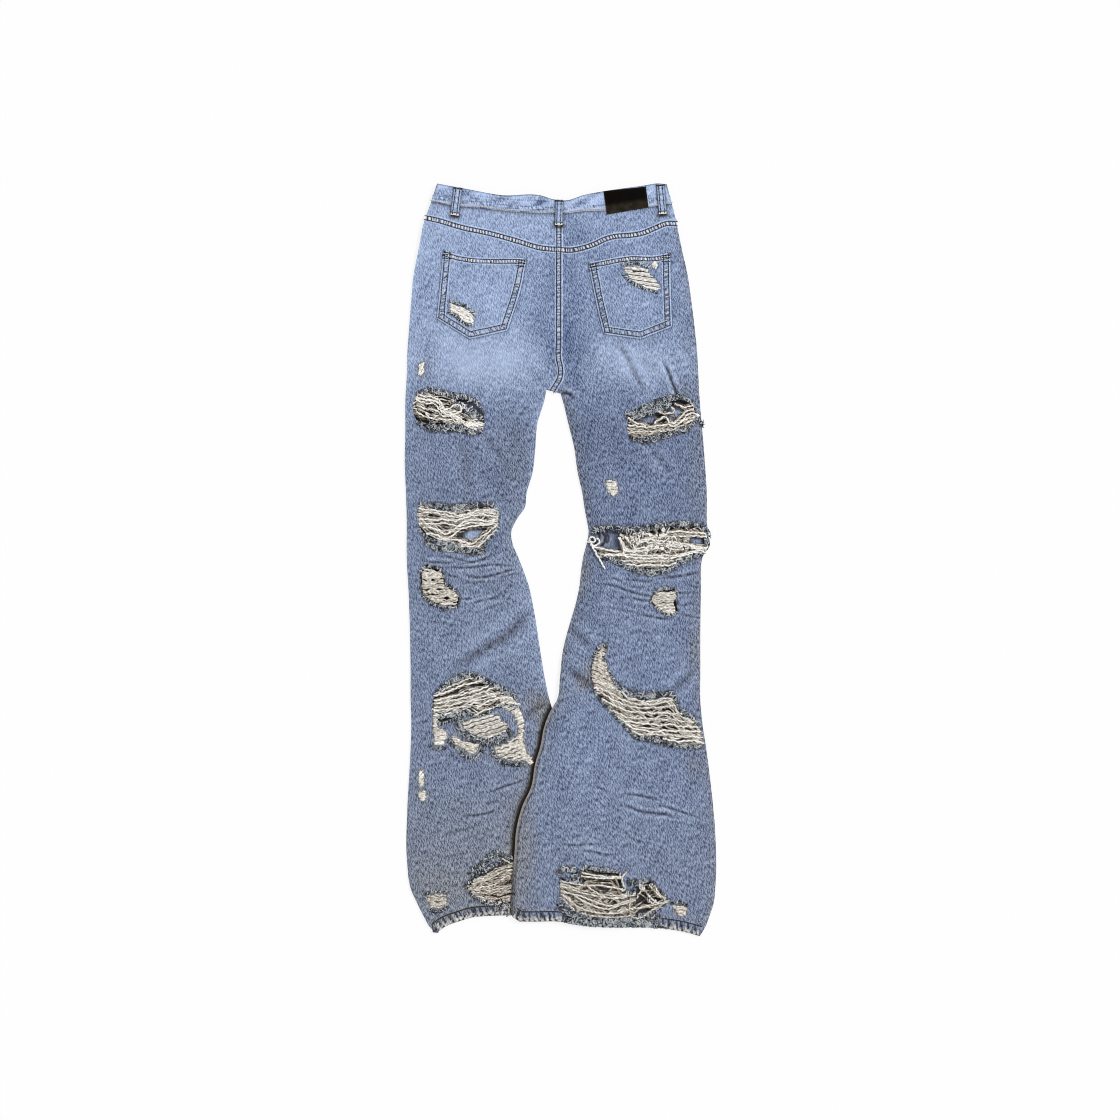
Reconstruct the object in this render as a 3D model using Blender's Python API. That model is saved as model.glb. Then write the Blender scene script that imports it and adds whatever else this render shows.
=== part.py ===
"""Ripped flared jeans laid flat on a surface with the back up.

The cloth lies in two layers: the front legs on the surface and the back legs, yokes and back waistband
over them. The right leg crosses over the left leg at the bottom. Lengths in the tables are millimetres;
+X is the wearer's right, +Y runs to the waist, +Z is up, and the origin is under the middle.
"""
import math
from collections import namedtuple

import bmesh
import bpy
from mathutils import Vector
from mathutils.geometry import delaunay_2d_cdt

MM = 0.001
SEAM_GAP = 0.3        # clearance between two sewn pieces
DENIM = 1.2           # wall of one layer of denim
BAND = 2.4            # wall of the waistband, two layers folded together
LEATHER = 1.4         # wall of the waist patch
YARNS = 1.0           # depth of the mat of loose yarns in a rip
BAND_WIDTH = 36.0     # width of the front waistband
WAIST_LIFT = 3.0      # the front waist stands on its button and loops
CROSS_LIFT = 4.4      # height of the right leg's underside over the left leg
EDGE_ROUND = 12.0     # how fast the back layer rises from a folded side
LEG_CELL = 19.0       # spacing of the points inside the back legs
FRONT_CELL = 24.0     # spacing of the points inside the front pieces
TRIM_CELL = 12.0      # spacing of the points inside pockets, yokes and bands
LOOP_WIDTH = 11.5     # width of a belt loop
LOOP_CELL = 4.0       # spacing along a belt loop
SCOOP_HALF_GAP = 0.2  # each piece's share of the clearance along the front pocket scoop
BUTTON_RADIUS = 8.5


def table(columns, *rows):
    """Rows of numbers as named tuples."""
    row_type = namedtuple("Row", columns)
    return [row_type(*row) for row in rows]


# The outer sides, where the cloth folds over from front to back, from the waist to the hem.
SIDES = table(
    "y left right",
    (579, -189, 164), (551, -198, 172), (520, -209, 179), (480, -217, 187), (440, -225, 196),
    (400, -229, 202), (360, -232, 207), (320, -235, 211), (283, -236, 213), (246, -238, 215),
    (200, -238, 219), (150, -239, 223), (100, -237, 226), (60, -236, 226), (25, -236, 228),
    (6, -236, 220), (-50, -233, 217), (-110, -231, 216), (-170, -230, 216), (-216, -230, 216),
    (-250, -229, 219), (-290, -230, 225), (-345, -233, 232), (-382, -235, 236), (-420, -235, 239),
    (-470, -235, 239), (-505, -230, 239), (-530, -219, 236), (-548, -210, 230), (-564, -201, 224),
)
# The inner sides of the two legs below the crotch.
INSEAMS = table(
    "y left right",
    (262, -21, -1), (256, -22, 1), (246, -24, 4), (209, -35, 13), (172, -38, 22), (136, -42, 27),
    (99, -52, 35), (84, -53, 37), (62, -67, 41), (43, -75, 44), (25, -73, 41), (6, -65, 36),
    (-12, -58, 33), (-40, -48, 30), (-68, -42, 24), (-105, -36, 13), (-142, -30, 4), (-179, -24, 0),
    (-216, -16, -5), (-229, -12, -13), (-256, -6, -24), (-286, 1, -30), (-313, 8, -38),
    (-348, 17, -44), (-379, 25, -58), (-414, 34, -67), (-453, 44, -70), (-504, 56, -74),
    (-537, 63, -75), (-551, 66, -73),
)
# The seam down the middle of the seat, and of the fly in front, to the crotch.
CENTRE_SEAM = table(
    "y x",
    (579, -1), (531, -1), (477, -2), (400, -2), (339, -2), (308, -2), (293, 1), (280, 0),
    (268, -7), (260, -12),
)
WAIST_TOP = table(
    "x y",
    (-189, 579), (-141, 570), (-90, 561), (-27, 560), (-12, 555), (10, 553), (36, 561), (67, 567),
    (130, 576), (149, 579), (164, 578),
)
BAND_LOW = table(
    "x y",
    (-198, 551), (-169, 545), (-124, 541), (-90, 537), (-47, 534), (-8, 533), (7, 533), (36, 536),
    (67, 537), (107, 539), (136, 542), (172, 548),
)
YOKE_SEAM = table(
    "x y",
    (-207, 526), (-184, 521), (-162, 514), (-138, 508), (-109, 502), (-90, 497), (-59, 488),
    (-32, 480), (-2, 477), (15, 476), (33, 479), (52, 485), (69, 493), (84, 497), (109, 499),
    (126, 502), (146, 510), (164, 517), (179.5, 517),
)
FRONT_WAIST = table(
    "x y",
    (-190, 574), (-150, 556), (-110, 542), (-70, 529), (-35, 520), (0, 515), (35, 520), (67, 529),
    (100, 540), (135, 556), (165, 572),
)
HEM_LEFT = table(
    "x y",
    (-201, -564), (-190, -574), (-176, -564), (-155, -556), (-135, -550), (-113, -548), (-60, -547),
    (0, -548), (66, -551),
)
HEM_RIGHT = table(
    "x y",
    (-73, -549), (-62, -556), (-38, -556), (-2, -556), (28, -561), (69, -564), (122, -565),
    (167, -568), (198, -574), (215, -579), (224, -564),
)
# How far the back layer stands clear of the front layer in the middle of a leg.
FULLNESS = table(
    "y height",
    (579, 0.6), (520, 1.0), (440, 1.8), (300, 2.0), (60, 1.9), (-200, 1.9), (-480, 1.7), (-579, 0.7),
)
# The largest folds of the back layer: soft ridges (+) and troughs (-) along a line.
FOLDS = table(
    "x0 y0 x1 y1 width height",
    (-95, 120, -45, 75, 22, 0.8),
    (-100, 95, -60, 45, 16, -0.5),
    (-175, -8, -60, -5, 14, 0.5),
    (60, -35, 215, -12, 14, 0.5),
    (95, 330, 125, 265, 20, 0.5),
    (160, 305, 182, 255, 18, -0.5),
    (-110, -352, -55, -338, 14, -0.5),
    (60, -360, 190, -385, 18, 0.5),
    (5, -436, 90, -446, 18, 0.4),
)
POCKETS = {
    "left": [(-179, 476), (-172, 473), (-52, 462), (-59, 424), (-81, 353), (-139, 340), (-189, 371),
             (-184, 424)],
    "right": [(44, 456), (61, 459), (107, 467), (146, 467), (169, 471), (170, 416), (172, 359),
              (124, 340), (67, 348), (55, 400)],
}
PATCH = [(67, 567), (132, 574), (136, 542), (72, 531)]
# Top end, bottom end of each belt loop on the back.
BACK_LOOPS = table(
    "place x0 y0 x1 y1",
    ("left", -156, 573, -162, 530), ("centre", -1, 554, -2, 515), ("right", 154, 578, 158, 532),
)
FRONT_LOOPS = table(
    "place x0 y0 x1 y1",
    ("left", -108, 541, -101, 495), ("right", 92, 537, 86, 492),
)
# The large rips: the hole in the back leg, and how far the fringe reaches up and down over the cloth.
Rip = namedtuple("Rip", "place side up down hole")
RIPS = [
    Rip("thigh", "left", 9, 12, [
        (-219, 254), (-204, 257), (-186, 254), (-162, 248), (-139, 245), (-126, 236), (-118, 225),
        (-121, 203), (-136, 202), (-158, 209), (-178, 208), (-201, 209), (-219, 214)]),
    Rip("knee", "left", 10, 8, [
        (-215, 83), (-196, 80), (-173, 75), (-139, 79), (-105, 80), (-95, 69), (-96, 54), (-105, 40),
        (-116, 29), (-118, 20), (-139, 18), (-162, 25), (-186, 31), (-204, 37), (-215, 49)]),
    Rip("below_knee", "left", 5, 6, [
        (-213, -17), (-206, -12), (-184, -17), (-178, -28), (-178, -38), (-167, -45), (-155, -57),
        (-158, -68), (-176, -71), (-195, -65), (-210, -54), (-213, -38)]),
    Rip("shin", "left", 11, 5, [
        (-192, -209), (-178, -199), (-162, -189), (-147, -183), (-132, -183), (-115, -191),
        (-99, -199), (-84, -206), (-72, -213), (-62, -225), (-81, -219), (-96, -222), (-115, -234),
        (-127, -239), (-141, -233), (-155, -240), (-170, -245), (-184, -249), (-193, -240)]),
    Rip("hem", "left", 8, 8, [
        (-146, -502), (-130, -491), (-109, -477), (-81, -464), (-56, -459), (-53, -493), (-59, -521),
        (-78, -528), (-105, -525), (-127, -517)]),
    Rip("thigh", "right", 10, 11, [
        (107, 220), (124, 226), (146, 236), (166, 243), (187, 246), (204, 237), (211, 219),
        (199, 209), (178, 202), (153, 194), (130, 189), (109, 191)]),
    Rip("knee", "right", 9, 11, [
        (55, 45), (76, 46), (99, 42), (122, 43), (153, 49), (192, 51), (219, 48), (222, 31),
        (221, 15), (206, 11), (187, 3), (166, -11), (138, -14), (110, -8), (84, 5), (61, 12),
        (52, 23)]),
    Rip("below_knee", "right", 6, 5, [
        (141, -62), (147, -51), (162, -46), (178, -49), (178, -62), (179, -80), (166, -82),
        (150, -72)]),
    Rip("shin", "right", 11, 9, [
        (73, -131), (65, -146), (70, -165), (78, -182), (89, -199), (110, -211), (141, -214),
        (172, -211), (184, -234), (206, -248), (216, -265), (219, -284), (196, -282), (166, -279),
        (138, -271), (116, -268), (95, -246), (73, -223), (56, -203), (49, -179), (52, -154),
        (61, -137)]),
    Rip("hem", "right", 8, 6, [
        (2, -494), (32, -496), (35, -477), (64, -480), (93, -485), (96, -507), (110, -517),
        (122, -499), (138, -496), (166, -525), (146, -536), (127, -548), (101, -551), (75, -551),
        (42, -544), (18, -533), (2, -517)]),
]
SIDE_REACH = 2.0      # how far a rip's yarns are caught under the cloth at its two ends


def smooth(low, high, value):
    """0 below low, 1 above high and a soft S between."""
    t = min(max((value - low) / (high - low), 0.0), 1.0)
    return t * t * (3.0 - 2.0 * t)


def read(rows, key, column, value):
    """Straight-line reading of one column of a table against another."""
    ordered = sorted(rows, key=lambda row: getattr(row, key))
    if value <= getattr(ordered[0], key):
        return getattr(ordered[0], column)
    for low, high in zip(ordered, ordered[1:]):
        if value <= getattr(high, key):
            t = (value - getattr(low, key)) / (getattr(high, key) - getattr(low, key))
            return getattr(low, column) * (1.0 - t) + getattr(high, column) * t
    return getattr(ordered[-1], column)


# Heights ------------------------------------------------------------------------------------------

def crossing(y):
    """1 where the legs cross, 0 above."""
    return 1.0 - smooth(-160, -60, y)


def front_bottom(side, x, y):
    """Underside of the front layer."""
    height = WAIST_LIFT * smooth(380, 510, y)
    if side == "right":
        over = read(INSEAMS, "y", "left", y) - x
        height += CROSS_LIFT * smooth(-55, -8, over) * crossing(y)
    return height


def inner_distance(side, x, y):
    """How far a point is from its leg's inner side; large in the seat, which has none."""
    inseam = read(INSEAMS, "y", side, y)
    if y > 262:
        inseam = read(CENTRE_SEAM, "y", "x", y)
    distance = inseam - x if side == "left" else x - inseam
    return max(distance, 0.0) + 400.0 * smooth(262, 330, y)


def fullness(side, x, y):
    """Height of the back layer over its lowest place, none at a folded side."""
    outer = abs(read(SIDES, "y", side, y) - x)
    rise = 1.0 - math.exp(-min(outer, inner_distance(side, x, y)) / EDGE_ROUND)
    if side == "left":
        under = x - read(INSEAMS, "y", "right", y)
        rise *= 1.0 - smooth(-55, -6, under) * crossing(y)
    height = read(FULLNESS, "y", "height", y)
    for fold in FOLDS:
        height += fold.height * math.exp(-(segment_distance(x, y, fold) / fold.width) ** 2)
    return height * rise


def segment_distance(x, y, line):
    """Distance from a point to the line of a fold."""
    dx = line.x1 - line.x0
    dy = line.y1 - line.y0
    t = ((x - line.x0) * dx + (y - line.y0) * dy) / (dx * dx + dy * dy)
    t = min(max(t, 0.0), 1.0)
    return math.hypot(x - line.x0 - t * dx, y - line.y0 - t * dy)


def back_bottom(side, x, y):
    """Underside of the back layer; at the waist it lies on the thicker front waistband."""
    front_wall = DENIM + (BAND - DENIM) * smooth(425, 470, y)
    return front_bottom(side, x, y) + front_wall + SEAM_GAP + fullness(side, x, y)


# Outlines -----------------------------------------------------------------------------------------

def between(rows, key, column, start, stop):
    """Table points from start to stop, ends included, as (key, column) pairs."""
    low, high = min(start, stop), max(start, stop)
    inner = [getattr(row, key) for row in rows if low + 3 < getattr(row, key) < high - 3]
    inner.sort(reverse=start > stop)
    return [(value, read(rows, key, column, value)) for value in [start, *inner, stop]]


def down_side(rows, column, start, stop):
    """Outline points along a table whose key is y, as (x, y)."""
    return [(x, y) for y, x in between(rows, "y", column, start, stop)]


def across(rows, start, stop, shift=0.0):
    """Outline points along a table whose key is x, as (x, y), moved up by shift."""
    return [(x, y + shift) for x, y in between(rows, "x", "y", start, stop)]


def moved(points, dx):
    return [(x + dx, y) for x, y in points]


def seam_x(y):
    return read(CENTRE_SEAM, "y", "x", y)


def outward(side):
    """+1 for the right half, -1 for the left."""
    return 1.0 if side == "right" else -1.0


def leg_below_crotch(side):
    """From the crotch down the inner side, along the hem and up the outer side to the last seat row."""
    hem = HEM_LEFT if side == "left" else HEM_RIGHT
    hem_points = [(row.x, row.y) for row in hem]
    if side == "left":
        hem_points.reverse()
    inner_end = hem_points[0]
    outer_end = hem_points[-1]
    top = 262 if side == "left" else 256
    inner = [(getattr(row, side), row.y) for row in INSEAMS if inner_end[1] + 8 < row.y <= top]
    outer = [(getattr(row, side), row.y) for row in SIDES if outer_end[1] + 8 < row.y < 280]
    outer.reverse()
    return inner + hem_points + outer


def seat_seam(side, top):
    """The centre seam from a height down to the crotch, on one side of it."""
    shift = outward(side) * SEAM_GAP / 2
    return moved(down_side(CENTRE_SEAM, "x", top, 260), shift)


def back_leg_outline(side):
    outer_x = YOKE_SEAM[0].x if side == "left" else YOKE_SEAM[-1].x
    seam_top = read(YOKE_SEAM, "x", "y", -2) - SEAM_GAP / 2
    top = across(YOKE_SEAM, outer_x, seam_x(seam_top) + outward(side) * SEAM_GAP / 2, -SEAM_GAP / 2)
    seam = seat_seam(side, seam_top)[1:]
    outer = down_side(SIDES, side, 283, top[0][1])[:-1]
    return top + seam + leg_below_crotch(side) + outer


def yoke_outline(side):
    band_x = BAND_LOW[0].x if side == "left" else BAND_LOW[-1].x
    yoke_x = YOKE_SEAM[0].x if side == "left" else YOKE_SEAM[-1].x
    middle = seam_x(500) + outward(side) * SEAM_GAP / 2
    upper = across(BAND_LOW, band_x, middle, -SEAM_GAP / 2)
    lower = across(YOKE_SEAM, middle, yoke_x, SEAM_GAP / 2)
    return upper + lower


def back_band_outline():
    upper = [(row.x, row.y) for row in WAIST_TOP]
    lower = [(row.x, row.y + SEAM_GAP / 2) for row in reversed(BAND_LOW)]
    return upper + lower


def front_band_low(x):
    return read(FRONT_WAIST, "x", "y", x) - BAND_WIDTH


def front_band_outline(side):
    middle = outward(side) * SEAM_GAP / 2
    outer = FRONT_WAIST[0].x if side == "left" else FRONT_WAIST[-1].x
    top = across(FRONT_WAIST, middle, outer)
    corner_y = top[-1][1] - BAND_WIDTH
    low_corner = (read(SIDES, "y", side, corner_y), corner_y)
    low = [(x, y - BAND_WIDTH) for x, y in reversed(top)]
    return top + [low_corner] + low


def scoop(side):
    """The front pocket opening: a quarter ellipse from the waistband to the side."""
    start_x = -112.0 if side == "left" else 98.0
    start = (start_x, front_band_low(start_x))
    stop_y = 452.0
    stop = (read(SIDES, "y", side, stop_y), stop_y)
    points = []
    for step in range(7):
        angle = math.radians(15.0 * step)
        x = start[0] + (stop[0] - start[0]) * (1.0 - math.cos(angle))
        y = start[1] + (stop[1] - start[1]) * math.sin(angle)
        points.append((x, y))
    return points


def front_pocket_outline(side):
    """The hip piece that shows in the scoop."""
    arc = scoop(side)
    band = front_band_outline(side)
    corner = band[len(band) // 2]
    gap = SCOOP_HALF_GAP
    low_line = across(FRONT_WAIST, corner[0], arc[0][0] + outward(side) * gap)
    low = [(x, front_band_low(x) - SEAM_GAP) for x, y in low_line]
    rim = [(x + outward(side) * gap, y + gap) for x, y in arc[1:]]
    side_up = down_side(SIDES, side, arc[-1][1] + gap, corner[1] - SEAM_GAP)[1:-1]
    return low + rim + side_up


def front_leg_outline(side):
    """From the waistband at the middle, down the fly and the leg, up the side and round the scoop."""
    middle = outward(side) * SEAM_GAP / 2
    fly_top = front_band_low(0) - SEAM_GAP
    fly = moved(down_side(CENTRE_SEAM, "x", fly_top, 260), outward(side) * SEAM_GAP / 2)
    arc = scoop(side)
    gap = SCOOP_HALF_GAP
    outer = down_side(SIDES, side, 283, arc[-1][1] - gap)
    rim = [(x - outward(side) * gap, y - gap) for x, y in reversed(arc[1:-1])]
    band_line = across(FRONT_WAIST, arc[0][0] - outward(side) * gap, middle)
    band = [(x, front_band_low(x) - SEAM_GAP) for x, y in band_line]
    return fly + leg_below_crotch(side) + outer + rim + band[:-1]


def mat_outline(rip):
    """A rip's outline grown by the reach of its fringe."""
    count = len(rip.hole)
    grown = []
    for index, (x, y) in enumerate(rip.hole):
        before = rip.hole[index - 1]
        after = rip.hole[(index + 1) % count]
        nx = before[1] - after[1]
        ny = after[0] - before[0]
        length = math.hypot(nx, ny)
        reach = rip.up if ny > 0 else rip.down
        grown.append((x + SIDE_REACH * nx / length, y + reach * ny / length))
    return grown


def strip_outline(row):
    """A belt loop seen from above."""
    along = Vector((row.x1 - row.x0, row.y1 - row.y0))
    count = round(along.length / LOOP_CELL)
    half = Vector((along.y, -along.x)).normalized() * LOOP_WIDTH / 2
    start = Vector((row.x0, row.y0))
    right = [start + along * (step / count) + half for step in range(count + 1)]
    left = [start + along * (step / count) - half for step in range(count, -1, -1)]
    return [tuple(point) for point in right + left]


# Solids -------------------------------------------------------------------------------------------

Plan = namedtuple("Plan", "points triangles")


def inside(outline, x, y):
    """True where a point is within a closed outline."""
    hit = False
    for (x0, y0), (x1, y1) in zip(outline, outline[1:] + outline[:1]):
        if (y0 > y) != (y1 > y) and x < x0 + (y - y0) * (x1 - x0) / (y1 - y0):
            hit = not hit
    return hit


def clear_of(outlines, x, y, margin):
    """True where a point keeps a margin to every line of every outline."""
    for outline in outlines:
        for (x0, y0), (x1, y1) in zip(outline, outline[1:] + outline[:1]):
            dx, dy = x1 - x0, y1 - y0
            t = min(max(((x - x0) * dx + (y - y0) * dy) / (dx * dx + dy * dy), 0.0), 1.0)
            if math.hypot(x - x0 - t * dx, y - y0 - t * dy) < margin:
                return False
    return True


def lay_out(outline, cell, lines=()):
    """A flat net of triangles inside an outline, with edges along every given line."""
    outlines = [outline, *lines]
    points = []
    edges = []
    for loop in outlines:
        first = len(points)
        points += [Vector(point) for point in loop]
        edges += [(first + i, first + (i + 1) % len(loop)) for i in range(len(loop))]
    xs = [x for x, y in outline]
    ys = [y for x, y in outline]
    row_height = cell * math.sqrt(3) / 2
    for row in range(int((max(ys) - min(ys)) / row_height) + 1):
        y = min(ys) + row_height * (row + 0.5)
        shift = cell / 2 if row % 2 else 0.0
        for column in range(int((max(xs) - min(xs)) / cell) + 2):
            x = min(xs) + cell * column + shift
            if inside(outline, x, y) and clear_of(outlines, x, y, cell * 0.42):
                points.append(Vector((x, y)))
    net = delaunay_2d_cdt(points, edges, [], 0, 1e-4)
    triangles = []
    for face in net[2]:
        x = sum(net[0][i].x for i in face) / 3
        y = sum(net[0][i].y for i in face) / 3
        if inside(outline, x, y):
            triangles.append(tuple(face))
    return Plan(net[0], triangles)


def within(plan, outline, keep=True):
    """The part of a net inside, or outside, an outline."""
    chosen = []
    for face in plan.triangles:
        x = sum(plan.points[i].x for i in face) / 3
        y = sum(plan.points[i].y for i in face) / 3
        if inside(outline, x, y) == keep:
            chosen.append(face)
    return Plan(plan.points, chosen)


def paint(name, colour, roughness, metallic):
    """A plain Principled material."""
    material = bpy.data.materials.new(name)
    material.use_nodes = True
    shader = material.node_tree.nodes["Principled BSDF"]
    shader.inputs["Base Color"].default_value = (*colour, 1.0)
    shader.inputs["Roughness"].default_value = roughness
    shader.inputs["Metallic"].default_value = metallic
    return material


FINISHES = {
    "denim": ((0.24, 0.30, 0.47), 0.9, 0.0),
    "yarn": ((0.70, 0.67, 0.62), 0.95, 0.0),
    "leather": ((0.012, 0.010, 0.009), 0.5, 0.0),
    "metal": ((0.35, 0.28, 0.20), 0.4, 1.0),
}


def finish_object(name, mesh, finish):
    """Put a mesh in the scene with a material of its own."""
    mesh.materials.append(paint(name, *FINISHES[finish]))
    obj = bpy.data.objects.new(name, mesh)
    bpy.context.scene.collection.objects.link(obj)
    return obj


def wall(name, plan, bottom, thickness, finish="denim"):
    """A closed wall of cloth: the net lifted to its height and drawn up by its thickness."""
    net = bmesh.new()
    used = sorted({i for face in plan.triangles for i in face})
    made = {}
    for i in used:
        x, y = plan.points[i]
        made[i] = net.verts.new((x * MM, y * MM, bottom(x, y) * MM))
    faces = [net.faces.new([made[i] for i in face]) for face in plan.triangles]
    grown = bmesh.ops.extrude_face_region(net, geom=faces, use_keep_orig=True)["geom"]
    top = [item for item in grown if isinstance(item, bmesh.types.BMVert)]
    bmesh.ops.translate(net, verts=top, vec=(0.0, 0.0, thickness * MM))
    bmesh.ops.recalc_face_normals(net, faces=net.faces)
    mesh = bpy.data.meshes.new(name)
    net.to_mesh(mesh)
    net.free()
    return finish_object(name, mesh, finish)


def turned(name, x, y, profile, finish):
    """A round solid from (radius, height) rows, closed at both ends."""
    net = bmesh.new()
    ring = [net.verts.new((radius * MM, 0.0, height * MM)) for radius, height in profile]
    lines = [net.edges.new(pair) for pair in zip(ring, ring[1:])]
    bmesh.ops.spin(net, geom=ring + lines, axis=(0, 0, 1), cent=(0, 0, 0), steps=24,
                   angle=math.tau, use_merge=True)
    bmesh.ops.remove_doubles(net, verts=net.verts, dist=1e-5)
    bmesh.ops.holes_fill(net, edges=net.edges)
    bmesh.ops.recalc_face_normals(net, faces=net.faces)
    bmesh.ops.translate(net, verts=net.verts, vec=(x * MM, y * MM, 0.0))
    mesh = bpy.data.meshes.new(name)
    net.to_mesh(mesh)
    net.free()
    return finish_object(name, mesh, finish)


# Pieces -------------------------------------------------------------------------------------------

def clear_scene():
    for obj in list(bpy.data.objects):
        bpy.data.objects.remove(obj, do_unlink=True)


def make_back(side):
    """A back leg with its holes, and the pocket and rip yarns that lie on it, made from its points."""
    rips = [rip for rip in RIPS if rip.side == side]
    mats = [mat_outline(rip) for rip in rips]
    pocket = POCKETS[side]
    holes = [rip.hole for rip in rips]
    plan = lay_out(back_leg_outline(side), LEG_CELL, [pocket, *holes, *mats])

    def leg_bottom(x, y):
        return back_bottom(side, x, y)

    def on_leg(x, y):
        return leg_bottom(x, y) + DENIM + SEAM_GAP

    leg = plan
    for hole in holes:
        leg = within(leg, hole, keep=False)
    wall("back_leg_" + side, leg, leg_bottom, DENIM)
    wall("back_pocket_" + side, within(plan, pocket), on_leg, DENIM)
    for rip, mat in zip(rips, mats):
        wall("rip_" + rip.place + "_" + side, within(plan, mat), on_leg, YARNS, "yarn")


def make_yoke(side):
    plan = lay_out(yoke_outline(side), TRIM_CELL)
    wall("yoke_" + side, plan, lambda x, y: back_bottom(side, x, y), DENIM)


def side_of(x, y):
    return "right" if x > seam_x(y) else "left"


def band_top(x, y):
    """Top of the back waistband, carried on past its lower edge."""
    return back_bottom(side_of(x, y), x, y) + BAND


def yoke_top(x, y):
    return back_bottom(side_of(x, y), x, y) + DENIM


def make_back_band():
    plan = lay_out(back_band_outline(), TRIM_CELL)
    wall("waistband_back", plan, lambda x, y: band_top(x, y) - BAND, BAND)


def make_patch():
    plan = lay_out(PATCH, TRIM_CELL)
    wall("waist_patch", plan, lambda x, y: band_top(x, y) + SEAM_GAP, LEATHER, "leather")


def make_back_loops():
    """Loops that cross the waistband and come down on the yoke."""
    def loop_bottom(x, y):
        past_band = read(BAND_LOW, "x", "y", x) - y
        down = smooth(1.5, 7.0, past_band)
        return band_top(x, y) * (1.0 - down) + yoke_top(x, y) * down + SEAM_GAP

    for row in BACK_LOOPS:
        plan = lay_out(strip_outline(row), LOOP_WIDTH)
        wall("belt_loop_back_" + row.place, plan, loop_bottom, DENIM)


def make_front(side):
    """The front leg, the hip piece in its pocket scoop and the front waistband."""
    def bottom(x, y):
        return front_bottom(side, x, y)

    wall("front_leg_" + side, lay_out(front_leg_outline(side), FRONT_CELL), bottom, DENIM)
    wall("front_pocket_" + side, lay_out(front_pocket_outline(side), FRONT_CELL), bottom, DENIM)
    wall("waistband_front_" + side, lay_out(front_band_outline(side), FRONT_CELL), bottom, BAND)


def make_front_loops():
    """Loops under the front waistband, on the surface side."""
    def loop_bottom(x, y):
        return front_bottom("left", x, y) - SEAM_GAP - DENIM

    for row in FRONT_LOOPS:
        plan = lay_out(strip_outline(row), LOOP_WIDTH)
        wall("belt_loop_front_" + row.place, plan, loop_bottom, DENIM)


def make_fly():
    """The closed zip inside the fly, and the waist button under the front waistband."""
    zip_outline = [(-18, 474), (10, 474), (10, 420), (10, 370), (8, 320), (-14, 320), (-18, 370), (-18, 420)]
    plan = lay_out(zip_outline, TRIM_CELL)
    wall("fly_zip", plan, lambda x, y: front_bottom("left", x, y) + DENIM + 0.6, 1.0)
    button_y = front_band_low(-13) + BAND_WIDTH / 2
    seat = front_bottom("left", -13, button_y - BUTTON_RADIUS) - SEAM_GAP
    profile = [(0.0, seat), (4.0, seat), (4.0, 1.9), (BUTTON_RADIUS, 1.7), (BUTTON_RADIUS, 0.8),
               (7.0, 0.1), (0.0, 0.1)]
    turned("fly_button", -13, button_y, profile, "metal")


def main():
    clear_scene()
    for side in ("left", "right"):
        make_front(side)
        make_back(side)
        make_yoke(side)
    make_fly()
    make_front_loops()
    make_back_band()
    make_patch()
    make_back_loops()


main()
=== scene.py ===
"""Looks of the ripped flared jeans: denim, seams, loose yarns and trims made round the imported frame.

The jeans lie on their front with the back up. Tables are in millimetres, in the frame's own axes:
+X is the wearer's right, +Y runs to the waist and +Z is up.
"""

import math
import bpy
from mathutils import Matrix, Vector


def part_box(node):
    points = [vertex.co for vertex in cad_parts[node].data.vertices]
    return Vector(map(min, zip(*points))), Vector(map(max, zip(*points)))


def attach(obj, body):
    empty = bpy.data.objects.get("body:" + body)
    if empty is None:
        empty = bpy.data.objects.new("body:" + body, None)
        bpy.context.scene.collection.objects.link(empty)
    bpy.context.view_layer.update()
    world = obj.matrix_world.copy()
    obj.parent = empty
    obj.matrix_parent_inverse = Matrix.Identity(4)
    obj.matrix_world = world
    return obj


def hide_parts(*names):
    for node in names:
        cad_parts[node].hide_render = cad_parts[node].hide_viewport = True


bl_info = {
    "name": "Ripped flared jeans",
    "version": (1, 0, 0),
    "blender": (4, 5, 0),
    "location": "View3D > Sidebar > Jeans",
    "description": "Worn denim with rips, loose yarns, stitched seams and trims",
    "category": "Object",
}

from collections import namedtuple
from functools import lru_cache

import bmesh
import bpy
import numpy as np
from bpy.props import FloatProperty, FloatVectorProperty, PointerProperty
from mathutils import Vector
from mathutils.bvhtree import BVHTree
from mathutils.geometry import delaunay_2d_cdt

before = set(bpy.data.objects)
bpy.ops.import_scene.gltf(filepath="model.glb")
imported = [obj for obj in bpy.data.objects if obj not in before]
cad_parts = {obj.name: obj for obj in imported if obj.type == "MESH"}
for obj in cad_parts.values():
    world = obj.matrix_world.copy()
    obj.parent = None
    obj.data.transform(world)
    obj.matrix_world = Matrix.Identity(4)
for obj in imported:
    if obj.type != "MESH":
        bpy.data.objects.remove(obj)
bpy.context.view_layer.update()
MM = 0.001
SIDES = ("left", "right")
CROTCH = 250.0              # the height where the legs part
OVERLAP = (-215, -196)      # the heights between which the right leg comes to lie over the left one
VIEW_WIDTH = 1.7248         # metres of the floor that the camera sees from side to side


def table(columns, *rows):
    """Rows of values as named tuples; a line typed as "x y, x y" becomes an array of its points."""
    row_type = namedtuple("Row", columns)
    return [row_type(*(np.array([point.split() for point in cell.split(",")], float)
                       if isinstance(cell, str) and "," in cell else cell for cell in row)) for row in rows]


def grouped(columns, groups):
    """A table whose rows are listed under the first column, which they share."""
    return table(columns, *((first, *row) for first, rows in groups.items() for row in rows))


# Wash ---------------------------------------------------------------------------------------------

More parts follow.
